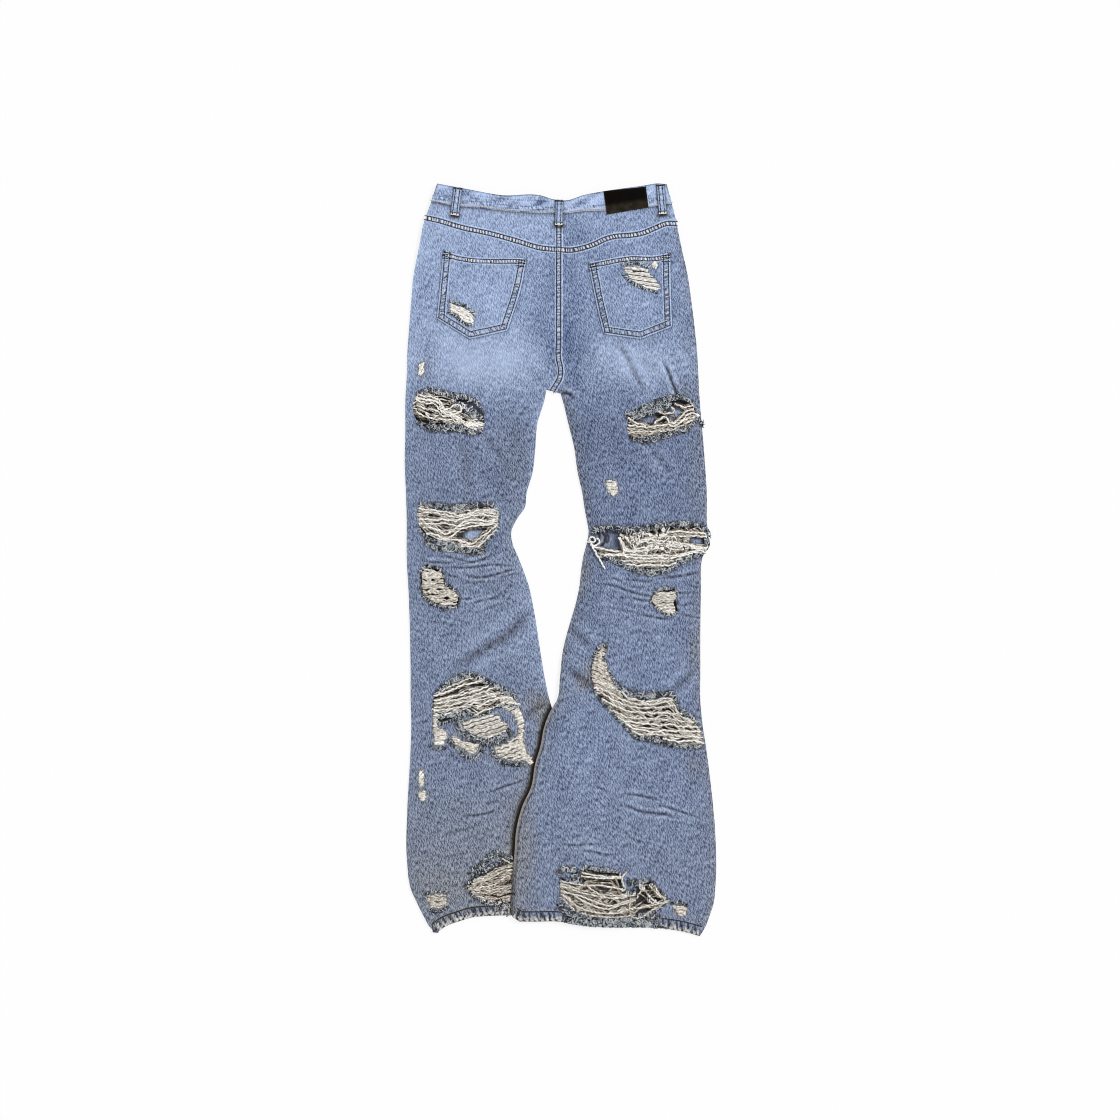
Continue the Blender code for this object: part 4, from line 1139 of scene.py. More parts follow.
@lru_cache(None)
def leather_material():
    """Coated black leather: a low soft shine over a fine pebbled grain, browner in patches as its worn value
    says, which holds a painted sheen.
    """
    colours = bpy.context.scene.jeans_colours
    material, tree = new_material("coated black leather")
    place = add(tree, "ShaderNodeTexCoord").outputs["Object"]
    grain = add(tree, "ShaderNodeTexVoronoi", {"Vector": place, "Scale": 1000 / 1.6})
    rub = add(tree, "ShaderNodeTexNoise", {"Vector": place, "Scale": 1000 / 9.0, "Detail": 2.0})
    patchy = add(tree, "ShaderNodeMapRange", {0: rub, 1: 0.35, 2: 0.7, 3: 0.5, 4: 1.2})
    # The worn value carries a painted sheen, drawn browner.
    level = add(tree, "ShaderNodeAttribute", attribute_name="worn").outputs["Fac"]
    worn = add(tree, "ShaderNodeMath", {0: level, 1: patchy}, operation="MULTIPLY")
    face = add(tree, "ShaderNodeMix", {0: worn, 6: rgba(colours.leather), 7: rgba(linear("#302C24"))},
               data_type="RGBA")
    bump = add(tree, "ShaderNodeBump", {"Height": grain, "Strength": 0.25, "Distance": 0.0002})
    return finished(material, {"Base Color": face, "Roughness": 0.55, "Specular IOR Level": 0.03,
                               "Normal": bump})


@lru_cache(None)
def brass_material():
    """Antique brass: a dull warm metal, tarnished darker in patches."""
    material, tree = new_material("antique brass")
    place = add(tree, "ShaderNodeTexCoord").outputs["Object"]
    tarnish = add(tree, "ShaderNodeTexNoise", {"Vector": place, "Scale": 1000 / 3.0, "Detail": 3.0})
    face = add(tree, "ShaderNodeMix", {0: tarnish, 6: rgba(linear("#5E4A32")), 7: rgba(linear("#A58A5C"))},
               data_type="RGBA")
    dull = add(tree, "ShaderNodeMapRange", {0: tarnish, 1: 0.3, 2: 0.7, 3: 0.3, 4: 0.5})
    return finished(material, {"Base Color": face, "Metallic": 1.0, "Roughness": dull})


# Geometry nodes -----------------------------------------------------------------------------------

def new_tree(name, **sizes):
    """A geometry tree with named inputs, and the curves that it makes of its lines."""
    tree = bpy.data.node_groups.new(name, "GeometryNodeTree")
    tree.interface.new_socket("Lines", in_out="INPUT", socket_type="NodeSocketGeometry")
    for label, default in sizes.items():
        kind = "NodeSocketInt" if isinstance(default, int) else "NodeSocketFloat"
        tree.interface.new_socket(label, in_out="INPUT", socket_type=kind).default_value = default
    tree.interface.new_socket("Material", in_out="INPUT", socket_type="NodeSocketMaterial")
    tree.interface.new_socket("Mesh", in_out="OUTPUT", socket_type="NodeSocketGeometry")
    given = add(tree, "NodeGroupInput").outputs
    return tree, given, add(tree, "GeometryNodeMeshToCurve", {0: given["Lines"]})


def closed_tree(tree, given, shape):
    """The tree, ended in a plain smooth mesh of the material it is given."""
    even = add(tree, "GeometryNodeSetShadeSmooth", {0: shape})
    real = add(tree, "GeometryNodeRealizeInstances", {0: even})
    painted = add(tree, "GeometryNodeSetMaterial", {"Geometry": real, "Material": given["Material"]})
    add(tree, "NodeGroupOutput", {"Mesh": painted})
    return tree


@lru_cache(None)
def strand_tree():
    """A round yarn along every line, as thick as its points say."""
    tree, given, curve = new_tree("yarn along lines", Sides=5)
    thick = add(tree, "GeometryNodeInputNamedAttribute", {"Name": "thick"}, data_type="FLOAT")
    ring = add(tree, "GeometryNodeCurvePrimitiveCircle", {"Resolution": given["Sides"], "Radius": MM})
    tube = add(tree, "GeometryNodeCurveToMesh", {"Curve": curve, "Profile Curve": ring, "Scale": thick,
                                                 "Fill Caps": True})
    return closed_tree(tree, given, tube)


@lru_cache(None)
def stitch_tree():
    """Stitches in a row along every line."""
    tree, given, curve = new_tree("stitches along lines", Pitch=0.004, Length=0.0034, Width=0.001)
    spaced = add(tree, "GeometryNodeResampleCurve", {"Curve": curve, "Length": given["Pitch"]}, mode="LENGTH")
    half = add(tree, "ShaderNodeMath", {0: given["Length"], 1: 0.5}, operation="MULTIPLY")
    wide = add(tree, "ShaderNodeMath", {0: given["Width"], 1: 0.5}, operation="MULTIPLY")
    size = add(tree, "ShaderNodeCombineXYZ", {"X": half, "Y": wide, "Z": wide})
    bead = add(tree, "GeometryNodeMeshUVSphere", {"Segments": 6, "Rings": 4})
    shaped = add(tree, "GeometryNodeTransform", {"Geometry": bead, "Scale": size})
    tangent = add(tree, "GeometryNodeInputTangent")
    aim = add(tree, "FunctionNodeAlignRotationToVector", {"Vector": tangent}, axis="X")
    row = add(tree, "GeometryNodeInstanceOnPoints", {"Points": spaced, "Instance": shaped, "Rotation": aim})
    return closed_tree(tree, given, row)


def grown(name, tree, lines, values=None, **inputs):
    """The plain mesh that a tree makes of lines in millimetres."""
    points = np.concatenate(lines)
    ends = np.cumsum([len(line) for line in lines]) - 1
    first = np.setdiff1d(np.arange(len(points) - 1), ends)
    values = {key: np.concatenate(value) for key, value in (values or {}).items()}
    guide = drawn(name + "_guide", points, np.column_stack([first, first + 1]).tolist(), [], values)
    holder = placed(name + "_guide", guide)
    modifier = holder.modifiers.new("grow", "NODES")
    modifier.node_group = tree
    for item in tree.interface.items_tree:
        if item.in_out == "INPUT" and item.name in inputs:
            modifier[item.identifier] = inputs[item.name]
    mesh = bpy.data.meshes.new_from_object(holder.evaluated_get(bpy.context.evaluated_depsgraph_get()))
    mesh.name = name
    bpy.data.objects.remove(holder)
    bpy.data.meshes.remove(guide)
    return placed(name, mesh)


def stitches(name, lines, kind="brown", thin=1.0):
    """Topstitching along lines of (x, y, z) in millimetres, thinner where it has sunk into the cloth."""
    sizes = bpy.context.scene.jeans_sizes
    rows = [resampled(np.asarray(line), 1.5) for line in lines]
    obj = grown(name, stitch_tree(), rows, Pitch=sizes.stitch_pitch, Length=sizes.stitch,
                Width=sizes.thread * thin, Material=thread_material(kind))
    return settle(obj, "thread")


def strands(name, yarns, kind):
    """Yarns, each a line of (x, y, z) in millimetres with its thickness and tone, kept over the floor."""
    # They are drawn thicker than spun, to read as single yarns from afar.
    sides, fuller = {"weft": (4, 1.5), "warp": (3, 2.3)}[kind]
    lines, thick, tone = zip(*yarns)
    lines = [np.maximum(line, [-1e3, -1e3, 0.3]) for line in lines]
    obj = grown(name, strand_tree(), lines, {"thick": [fuller * fat for fat in thick], "tone": tone},
                Sides=sides, Material=yarn_material(kind))
    return settle(obj, "yarn")


# Pieces ------------------------------------------------------------------------------------------

def distance_inside(loop, points, reach=FAR):
    """Distance to a loop, below zero within it."""
    distance = nearest(loop, points, True, reach)[0]
    return np.where(inside([loop], points), -distance, distance)


def fringe_zone(rip):
    """The outline of the frayed band round a rip."""
    return node_loops("rip_" + rip)[0]


@lru_cache(None)
def pocket_sides(name):
    """The sides of a pocket, corner to corner."""
    corners = node_loops(name)[0]
    heading = np.arctan2(*(corners - np.roll(corners, 1, axis=0)).T[::-1])
    turn = np.abs((np.roll(heading, -1) - heading + math.pi) % math.tau - math.pi)
    marks = list(np.nonzero(turn > math.radians(22))[0])
    sides = []
    for start, stop in zip(marks, marks[1:] + [marks[0] + len(corners)]):
        side = np.array([corners[i % len(corners)] for i in range(start, stop + 1)])
        sides.append(curve_through(side, 2.0) if len(side) > 2 else resampled(side, 2.0))
    return sides


def pocket_outline(name):
    """The outline of a pocket, with its corners sharp."""
    return np.concatenate([side[:-1] for side in pocket_sides(name)])


def cloth_values(side, points):
    """Paleness, greyness, darkness (much of it painted shade and painted shadow) and bareness of the cloth at
    points of a back panel.
    """
    light, grey = wash(points)
    shade = np.zeros(len(points))
    bare = np.zeros(len(points))
    # The creases: painted shade in them, with the indigo they keep, and paler worn ridges beside them.
    _, dark, pale = creased(side, points)
    light += 0.9 * pale
    shade += dark
    rim_gap = rim_distance(side, points)
    light += (0.26 if side == "left" else -0.18) * np.exp(-rim_gap / 9.0)
    grey += (0.0 if side == "left" else 0.45) * np.exp(-rim_gap / 9.0)
    for rip in rips_of(side):
        zone = distance_inside(fringe_zone(rip), points)
        frayed = (1.0 - smooth(-2.5, 1.5, zone)) * (0.75 + 0.25 * waves(points, 7.0, 41))
        grey += 0.75 * frayed
        light += (0.15 - light) * 0.8 * frayed
        # Painted shade among the fringe's curls and along its outer edge, where they lie over the cloth.
        shade += 0.55 * frayed + 0.45 * bell(zone, 0.3, 1.3)
    for worn in WORN:
        if worn.host == "back_leg_" + side or (worn.host == "rip" and worn.place.endswith(side)):
            zone = distance_inside(worn.outline, points)
            # Painted shade in the grooves between the worn yarns.
            shade += 0.5 * (1.0 - smooth(-1.5, 0.5, zone))
            grey += 0.7 * (1.0 - smooth(0.5, 4.0, zone))
    for row in FRAYS:
        if row.host == "back_leg_" + side:
            line = curve_through(row.line, 3.0)
            gap = nearest(line + normals(line) * row.turn * 0.5 * row.reach, points)[0]
            near = 1.0 - smooth(0.35 * row.reach, 0.8 * row.reach, gap)
            # Greyer under the frayed warp, with painted shade among its curls.
            grey += 0.8 * near
            shade += 0.5 * near
    # Painted shadow just outside the pocket's edge.
    pocket = distance_inside(pocket_outline("back_pocket_" + side), points)
    shade += 0.6 * bell(pocket, 0.7, 1.2)
    # Painted shade on the cloth in the slits.
    for slit in SLITS:
        shade += 0.9 * bell(nearest(slit.line, points)[0], 0.0, 1.5)
    if side == "left":
        # Painted cast shadow of the right leg on the left one where it lies over it, greyed.
        over = nearest(outline("back_leg_right"), points, True)[0]
        below = 1.0 - smooth(*OVERLAP, points[:, 1])
        shade += below * (0.95 * np.exp(-(over / 6.5) ** 3) + 0.25 * np.exp(-over / 12.0))
        grey += below * 0.9 * np.exp(-over / 9.0)
    else:
        below = (1.0 - smooth(*OVERLAP, points[:, 1])) * (1.0 - smooth(-30.0, 0.0, points[:, 0]))
        shade += below * (0.7 * bell(rim_gap, 4.8, 0.9) + 0.6 * (1.0 - smooth(2.4, 3.8, rim_gap)))
        bare += below * 0.3 * (1.0 - smooth(2.0, 3.2, rim_gap)) * smooth(-500, -440, points[:, 1])
        light += below * (0.3 * bell(rim_gap, 7.5, 2.0) + 0.16 * np.exp(-rim_gap / 14.0))
    return look_of(light, grey, shade, bare, 0.95)


def build_back_leg(side):
    """A back leg with its rips open: the piece and its net."""
    cloth = back_leg(side)
    faces = cloth.faces[~inside(holes(side), cloth.points[cloth.faces].mean(axis=1))]
    frayed = np.zeros(len(cloth.points))
    for rip in rips_of(side):
        frayed += 1.0 - smooth(-2.0, 1.0, distance_inside(fringe_zone(rip), cloth.points))
    top = cloth.top + 0.5 * frayed * (1.0 + 0.6 * waves(cloth.points, 5.0, 45))
    look = cloth_values(side, cloth.points)
    return denim_piece("back_leg_" + side, cloth.points, faces, top, look), cloth.points, faces


@lru_cache(None)
def plain_cloth(name):
    """The net of a small back panel that follows its frame."""
    side = "right" if name.endswith("right") else "left"
    loop = outline(name)
    points, faces = lay_net([loop], 2.0 if name == "waistband_back" else 3.2)
    top = relaxed(drop_to(node_surface(name), points), faces, 20) + rise(side, points)
    if name == "waistband_back":
        edge = nearest(loop, points, True)[0]
        top += 0.22 * waves(points[:, 0], 16.0, 51) * smooth(0.0, 6.0, edge) - 1.0 * np.exp(-edge / 1.4)
    return Cloth(points, faces, top, surface(points, top, faces))


@lru_cache(None)
def ground(*names):
    """The upper surface of finished back panels together."""
    corners, polygons = [], []
    for name in names:
        cloth = back_leg(name[9:]) if name.startswith("back_leg") else plain_cloth(name)
        first = sum(len(c) for c in corners)
        corners.append(np.column_stack([cloth.points, cloth.top]))
        polygons.append(cloth.faces + first)
    return BVHTree.FromPolygons(np.concatenate(corners).tolist(), np.concatenate(polygons).tolist())


def seat():
    """The upper surface of the whole back, to lay seams on."""
    return ground("back_leg_left", "back_leg_right", "yoke_left", "yoke_right", "waistband_back")


def ribbon(name, line, half, tree, height, values, depth=0.9, across=9):
    """A raised band of denim along a line. height and values are functions of (along, across, points)."""
    path = resampled(np.asarray(line, float), 1.15)
    along = lengths_along(path)
    side = normals(path)
    offsets = np.linspace(-half, half, across)
    points = (path[:, None, :] + side[:, None, :] * offsets[None, :, None]).reshape(-1, 2)
    s = np.repeat(along, across)
    u = np.tile(offsets, len(path))
    base = drop_to(tree, points).reshape(len(path), across)
    padded = np.pad(base, ((3, 3), (0, 0)), mode="edge")
    evened = [np.convolve(column, np.ones(7) / 7, mode="valid") for column in padded.T]
    top = np.stack(evened, axis=1).ravel() + height(s, u, points)
    i, j = np.meshgrid(np.arange(len(path) - 1), np.arange(across - 1), indexing="ij")
    a = (i * across + j).ravel()
    faces = np.concatenate([np.column_stack([a, a + across, a + across + 1]),
                            np.column_stack([a, a + across + 1, a + 1])])[:, ::-1]
    return settle(shell(name, points, faces, top, depth, denim_material(), **values(s, u, points)), "denim")


def pucker(s, u, seed, pitch=4.8, slant=0.25):
    """The puckers between two rows of stitches: 1 where the cloth stands up, -1 where it dips."""
    return np.sin(math.tau * (s / pitch + 0.25 * waves(s, 18.0, seed)) + slant * u)


def felled(apart, depth, seed, crest=1.0, dip=1.0, worn=0.12, halo=0.5, pitch=4.8, brim=3.4, dark=0.85):
    """Height and colour of a felled seam: white where a pucker stands up, almost black where it dips with
    deeper indigo and painted shade, a groove under each row of stitches with painted shade in it and a worn
    line outside it."""
    row = apart / 2

    def height(s, u, points):
        edge = np.abs(u)
        between = 1.0 - smooth(row - 1.2, row - 0.2, edge)
        groove = 0.35 * bell(edge, row, 0.8)
        stands = 0.3 * pucker(s, u, seed, pitch) * between
        return depth * (1.0 - smooth(row + brim - 1.3, row + brim, edge)) - 0.22 - groove + stands

    def values(s, u, points):
        light, grey = wash(points)
        edge = np.abs(u)
        between = 1.0 - smooth(row - 1.2, row - 0.4, edge)
        patchy = np.clip(0.85 + 0.45 * waves(s, 26.0, seed + 1), 0.2, 1.2) * between
        wave = pucker(s, u, seed, pitch)
        up = smooth(0.1, 0.55, wave) * patchy * crest
        down = smooth(-0.1, 0.35, -wave) * patchy * dip
        groove = bell(edge, row, 1.1)
        rubbed = bell(edge, row + 0.55 * brim, 0.3 * brim)
        light = light + worn + halo * rubbed + 0.6 * up - 0.6 * down
        # Painted shade in the pucker dips and in the groove under each row of stitches, and painted shadow
        # beside the belt loops.
        shade = 0.8 * down + dark * groove + painted_loop_shadow(points)
        return look_of(light, grey, shade, 0.85 * up, 0.96)

    return height, values


def lifted(line, tree, lift):
    """A line in space just over a surface."""
    path = resampled(np.asarray(line, float), 1.4)
    height = drop_to(tree, path)
    padded = np.pad(height, 2, mode="edge")
    return np.column_stack([path, np.convolve(padded, np.ones(5) / 5, mode="valid") + lift])


def beside(line, offset, sway=0.0, seed=1):
    """A line moved sideways by an offset, with a little sway."""
    path = resampled(np.asarray(line, float), 3.0)
    shift = offset + sway * waves(lengths_along(path), 40.0, seed)
    return path + normals(path) * np.asarray(shift)[..., None]


def seam_with_stitches(name, line, tree, apart, seed, depth=0.75, thin=1.0, brim=3.4, **look):
    """A felled seam and the two rows of topstitching on it."""
    height, values = felled(apart, depth, seed, brim=brim, **look)
    band = ribbon(name + "_seam", line, apart / 2 + brim, tree, height, values, across=15)
    rows = [lifted(beside(line, sign * apart / 2, 0.3, seed + k), tree, depth - 0.15)
            for k, sign in enumerate((-1, 1))]
    return [band, stitches(name + "_stitches", rows, "brown", thin)]


def hem_band(index, side, start, stop):
    """The turned-up hem: puckered under its stitching, its folded edge rubbed through."""
    whole = hem_line(side)
    line = whole[(whole[:, 0] > start) & (whole[:, 0] < stop)]
    inward = 1.0 if beside(line, 4.0)[:, 1].mean() > line[:, 1].mean() else -1.0
    tree = back_leg(side).tree
    half = HEM_DEPTH / 2 + 0.9
    centre = beside(line, inward * (half + 0.3))
    seed = 610 + 7 * index

    def height(s, u, points):
        up = u * inward + half
        slack = pucker(s, up, seed, 9.6, 0.16) * smooth(1.0, 5.0, up) * (1.0 - smooth(11.0, 14.0, up))
        ragged = 0.3 * waves(points, 3.5, seed + 2) * (1.0 - smooth(2.0, 5.0, up))
        groove = 0.5 * bell(up, HEM_DEPTH, 0.9)
        ends = 0.6 * (1.0 - smooth(0.0, 1.6, up))
        return 0.75 - 0.7 * smooth(HEM_DEPTH + 0.3, 2 * half, up) + 0.5 * slack + ragged - groove - ends

    def values(s, u, points):
        light, grey = wash(points)
        up = u * inward + half
        patchy = np.clip(0.85 + 0.5 * waves(s, 22.0, seed + 1), 0.2, 1.2)
        wave = pucker(s, up, seed, 9.6, 0.16)
        high = smooth(0.1, 0.8, wave) * smooth(0.5, 3.0, up) * (1.0 - smooth(7.0, 12.0, up + 2.0 * patchy))
        low = smooth(0.25, 0.6, -wave) * smooth(5.0, 7.0, up) * (1.0 - smooth(12.8, 14.2, up))
        blot = waves(points, 6.0, seed + 3)
        worn = (1.0 - smooth(3.0, 8.0, up + 2.0 * blot))
        groove = bell(up, HEM_DEPTH, 1.2)
        # low: deeper indigo and painted shade in the pucker dips; groove: painted shade under the stitching;
        # worn: dark blots on the rubbed edge.
        shade = 0.75 * low * smooth(0.2, 0.6, patchy) + 0.85 * groove + 0.8 * worn * smooth(0.2, 0.6, -blot)
        bare = 0.45 * high * patchy + 0.6 * worn * smooth(-0.1, 0.4, blot)
        rubbed = 0.5 * bell(up, HEM_DEPTH + 1.5, 0.8)
        light += 0.3 * high * patchy + rubbed - 0.9 * low
        return look_of(light, grey + 0.2 + 0.4 * worn - 0.8 * low, shade, bare, 0.95, 0.85)

    band = ribbon("hem_%s_%d" % (side, index), centre, half, tree, height, values, across=19)
    row = beside(line, inward * (HEM_DEPTH + 0.3), 0.3, seed)
    row = lifted(row[nearest(line, row)[0] > HEM_DEPTH - 1.0], tree, 0.35)
    return [band, stitches("hem_%s_%d_stitches" % (side, index), [row])]


# Yarns --------------------------------------------------------------------------------------------

YARN_STEP = 1.7       # between the points of a yarn


def hole_of(side, at):
    """The hole nearest to a place."""
    return min(holes(side), key=lambda loop: np.linalg.norm(loop.mean(axis=0) - at))


def bundle_lines(row, side, seed):
    """The yarns of one band: cords of two yarns twisted together, with yarns deeper in the gaps beneath drawn
    dark as painted shade.
    """
    rng = np.random.default_rng(seed)
    path = curve_through(row.path, YARN_STEP)
    centre, width = path[:, :2], np.maximum(path[:, 2], 1.6)
    across = normals(centre)
    along = lengths_along(centre)
    yarn = size_of("yarn")
    count = max(int(round(np.median(width) / size_of("cord"))), 1)
    hole = hole_of(side, centre[len(centre) // 2])
    yarns = []

    def lay(place, sink, level, sway, key):
        wander = sway * (0.55 * waves(along, 12.0, key) + 0.55 * waves(along, 30.0, key + 1))
        flat = centre + across * (place * (width - 1.2) + wander)[:, None]
        base = drop_to(back_leg(side).tree, flat)
        inner = distance_inside(hole, flat)
        height = base - 0.6 + row.lift * 0.8 + 0.45 * math.cos(place * 2.6) - sink
        tuck = 0.6 * smooth(-2.0, 0.5, inner) - 3.6 * smooth(0.5, 4.0, inner)
        height += 0.4 * waves(along, 13.0, key + 2) + (tuck if row.lift < 3 else 0.0)
        turn = math.tau * along / rng.uniform(10.0, 15.0) + rng.uniform(0, math.tau)
        for ply in (0, 1):
            swing = turn + ply * math.pi
            aside = across * (0.52 * yarn * np.cos(swing))[:, None]
            line = np.column_stack([flat + aside, height + 0.4 * yarn * np.sin(swing)])
            thick = 0.5 * yarn * (1.0 + 0.12 * waves(along, 11.0, key + 3 + ply))
            # Painted light: a ply is drawn lighter where the twist brings it up and darker where it goes
            # under.
            shine = level + 0.2 * np.sin(swing) + 0.2 * waves(along, 15.0, key + 5 + ply)
            yarns.append((line, thick, np.clip(shine - DULL.get(row.rip, 0.0), 0.0, 1.1)))

    for k in range(count):
        place = (k + 0.5) / count - 0.5 if count > 1 else 0.0
        lay(place, 0.0, rng.uniform(0.66, 0.95), 0.5 if row.rip == "hem_right" else 1.0, seed * 31 + 8 * k)
    # Yarns lying deep in the gaps, drawn dark with a low tone as painted shade.
    for k in range(count + 1 if row.lift < 3 else 0):
        lay((k / count - 0.5) * 1.2, 1.7, rng.uniform(0.0, 0.3), 1.2, seed * 37 + 8 * k)
    return yarns


def stray_lines(row, side, seed):
    """Single yarns that cross a rip under its bands, each keeping its place between the two edges."""
    rng = np.random.default_rng(seed)
    hole = hole_of(side, fringe_zone(row.rip).mean(axis=0))
    start, stop = hole[:, 0].min() - 1.0, hole[:, 0].max() + 1.0
    x = np.arange(max(start, row.start), min(stop, row.stop), YARN_STEP)
    ahead = np.roll(hole, -1, axis=0)
    lows, highs = [], []
    for at in np.clip(x, start + 2.5, stop - 2.5):
        across = (hole[:, 0] > at) != (ahead[:, 0] > at)
        a, b = hole[across], ahead[across]
        y = a[:, 1] + (at - a[:, 0]) / (b[:, 0] - a[:, 0]) * (b[:, 1] - a[:, 1])
        lows.append(y.min())
        highs.append(y.max())
    low, high = (np.convolve(np.pad(v, 4, mode="edge"), np.ones(9) / 9, mode="valid") for v in (lows, highs))
    yarn = size_of("yarn")
    yarns = []
    for k in range(row.count):
        share = (k + rng.uniform(0.1, 0.9)) / row.count
        key = seed + 9 * k
        share = row.low + (row.high - row.low) * share + row.sway * waves(x, 60.0, key) / 8
        y = low + np.clip(share, -0.02, 1.02) * (high - low) + 0.6 * row.sway * waves(x, 15.0, key + 1)
        flat = np.column_stack([x, y])
        inner = distance_inside(hole, flat)
        height = drop_to(back_leg(side).tree, flat) - 1.2 + 0.9 * rng.random()
        height += 0.5 * waves(x, 18.0, key + 2) - 3.0 * smooth(-0.5, 2.5, inner)
        thick = 0.56 * yarn * (1.0 + 0.15 * waves(x, 11.0, key + 3))
        level = row.tone + rng.uniform(-0.35, 0.35) - DULL.get(row.rip, 0.0)
        tone = np.clip(level + 0.2 * waves(x, 14.0, key + 4), 0.0, 1.1)
        yarns.append((np.column_stack([flat, height]), thick, tone))
    return yarns


def tangle_lines(row, side, seed):
    """Loose curls over the other yarns of a rip."""
    rng = np.random.default_rng(seed)
    yarns = []
    for _ in range(row.count):
        spot = np.clip(rng.normal(0.0, 0.5, 2), -1, 1) * [row.across, row.along] + [row.x, row.y]
        bend = rng.choice([-1, 1]) * rng.uniform(0.06, 0.26)
        flat, t = curl(spot, rng.uniform(0, math.tau), row.length * rng.uniform(0.6, 1.3), bend, rng)
        height = drop_to(back_leg(side).tree, flat) + rng.uniform(0.2, 1.6) + 0.7 * np.sin(t * math.pi)
        level = rng.choice([0.15, 0.55, 0.95]) + 0.25 * waves(t * row.length, 9.0, int(rng.integers(1e6)))
        tone = np.clip(level - DULL.get(row.rip, 0.0), 0.0, 1.1)
        yarns.append((np.column_stack([flat, height]), np.full(len(flat), 0.5 * size_of("yarn")), tone))
    return yarns


def worn_lines(row, tree, seed):
    """Dense short weft yarns over a worn place, in wavy rows with a groove after every few."""
    rng = np.random.default_rng(seed)
    loop = row.outline
    middle = loop.mean(axis=0)
    angle = math.radians(row.angle)
    along_axis = np.array([math.cos(angle), math.sin(angle)])
    up_axis = np.array([-along_axis[1], along_axis[0]])
    local = (loop - middle) @ np.array([along_axis, up_axis]).T
    yarn = size_of("yarn")
    yarns = []
    v = local[:, 1].min() + 0.4
    group = 0
    while v < local[:, 1].max():
        rows = int(rng.integers(row.rows, row.rows + 2))
        for k in range(rows):
            u = np.arange(local[:, 0].min(), local[:, 0].max(), YARN_STEP)
            sway = row.wave * (waves(u, 15.0, seed + group // 2) + 0.5 * waves(u, 30.0, seed + 50 + group))
            flat = middle + u[:, None] * along_axis + (v + sway)[:, None] * up_axis
            edge = distance_inside(loop, flat) + 0.5 * waves(u, 5.0, seed + group)
            for slit in SLITS:
                edge = np.maximum(edge, slit.width - nearest(slit.line, flat)[0])
            for run in runs_of(edge < 0.0):
                piece = flat[run]
                ends = np.minimum(np.arange(len(run)), np.arange(len(run))[::-1])
                height = drop_to(tree, piece) + 0.45 + 0.25 * waves(u[run], 9.0, seed + 5 * group + k)
                thick = 0.52 * yarn * (1.0 + 0.15 * waves(u[run], 7.0, seed + 7 * group + k))
                level = rng.uniform(0.6, 0.95) + 0.16 * waves(u[run], 9.0, seed + 9 * group + k)
                yarns.append((np.column_stack([piece, height - 1.3 * (ends < 1)]), thick,
                              np.clip(level - DULL.get(row.place, 0.0), 0.0, 1.1)))
            v += yarn * 0.95
        v += 1.3 * row.gap * rng.uniform(0.6, 1.3)
        group += 1
    return yarns


def runs_of(mask, least=3):
    """Unbroken runs of true places."""
    places = np.nonzero(mask)[0]
    return [run for run in np.split(places, np.nonzero(np.diff(places) > 1)[0] + 1) if len(run) >= least]


def curl(root, heading, length, bend, rng):
    """A curled strand that starts at a root: its flat points, and how far along each is."""
    step = 1.2
    count = max(int(length / step), 4)
    bend *= 1.25
    drift = rng.uniform(0.15, 0.55)
    phase = rng.uniform(0, math.tau)
    turns = bend * (0.6 + 0.8 * np.linspace(0, 1, count)) + 1.25 * drift * np.sin(phase + np.arange(count))
    headings = heading + np.concatenate([[0.0], np.cumsum(turns)[:-1]])
    steps = step * np.column_stack([np.cos(headings), np.sin(headings)])
    return root + np.concatenate([[[0.0, 0.0]], np.cumsum(steps, axis=0)]), np.linspace(0, 1, count + 1)


def fray(roots, away, reach, tree, seed, loop=None):
    """Curled warp yarns from roots, lying out over the cloth as far as reach says and worn off at its hem."""
    rng = np.random.default_rng(seed)
    yarns = []
    for at, out, far in zip(roots, away, reach):
        for layer in range(2):
            if rng.random() > 0.6:
                continue
            tight = rng.uniform(0.02, 0.34)
            length = (far + 1.0) * (0.75 + 2.6 * tight) * rng.uniform(0.7, 1.2)
            heading = math.atan2(out[1], out[0]) + rng.uniform(-0.8, 0.8)
            root = at - out * rng.uniform(-0.3 * far, 0.3)
            flat, t = curl(root, heading, length, rng.choice([-1, 1]) * tight, rng)
            lift = 0.35 + 0.8 * layer + 0.9 * rng.random() * np.sin(t * math.pi)
            thick = 0.5 * size_of("warp") * rng.uniform(0.7, 1.15) * (1.0 - 0.4 * t)
            # Near-black strands are dye kept in the warp and painted shade among the curls; the lower layer
            # has more of them.
            dark = rng.random() < 0.57 - 0.17 * layer
            level = rng.uniform(0.0, 0.22) if dark else rng.uniform(0.5, 1.05)
            tone = np.clip(level + 0.15 * waves(t * length, 6.0, int(rng.integers(1e6))), 0, 1.2)
            yarns.append((np.column_stack([flat, lift]), thick, tone))
    if not yarns:
        return yarns
    every = np.concatenate([line for line, thick, tone in yarns])
    every[:, 2] += drop_to(tree, every[:, :2])
    beyond = np.zeros(len(every)) if loop is None else distance_inside(loop, every[:, :2], 8.0)
    # Yarns that hang over the edge have broken off, closer to it at the hem.
    gone = beyond > np.where(every[:, 1] < -480, 1.0, 4.5)
    cuts = np.cumsum([len(line) for line, thick, tone in yarns])[:-1]
    kept = [int(np.argmax(part)) if part.any() else len(part) for part in np.split(gone, cuts)]
    return [(line[:n], thick[:n], tone[:n])
            for line, (_, thick, tone), n in zip(np.split(every, cuts), yarns, kept) if n > 3]


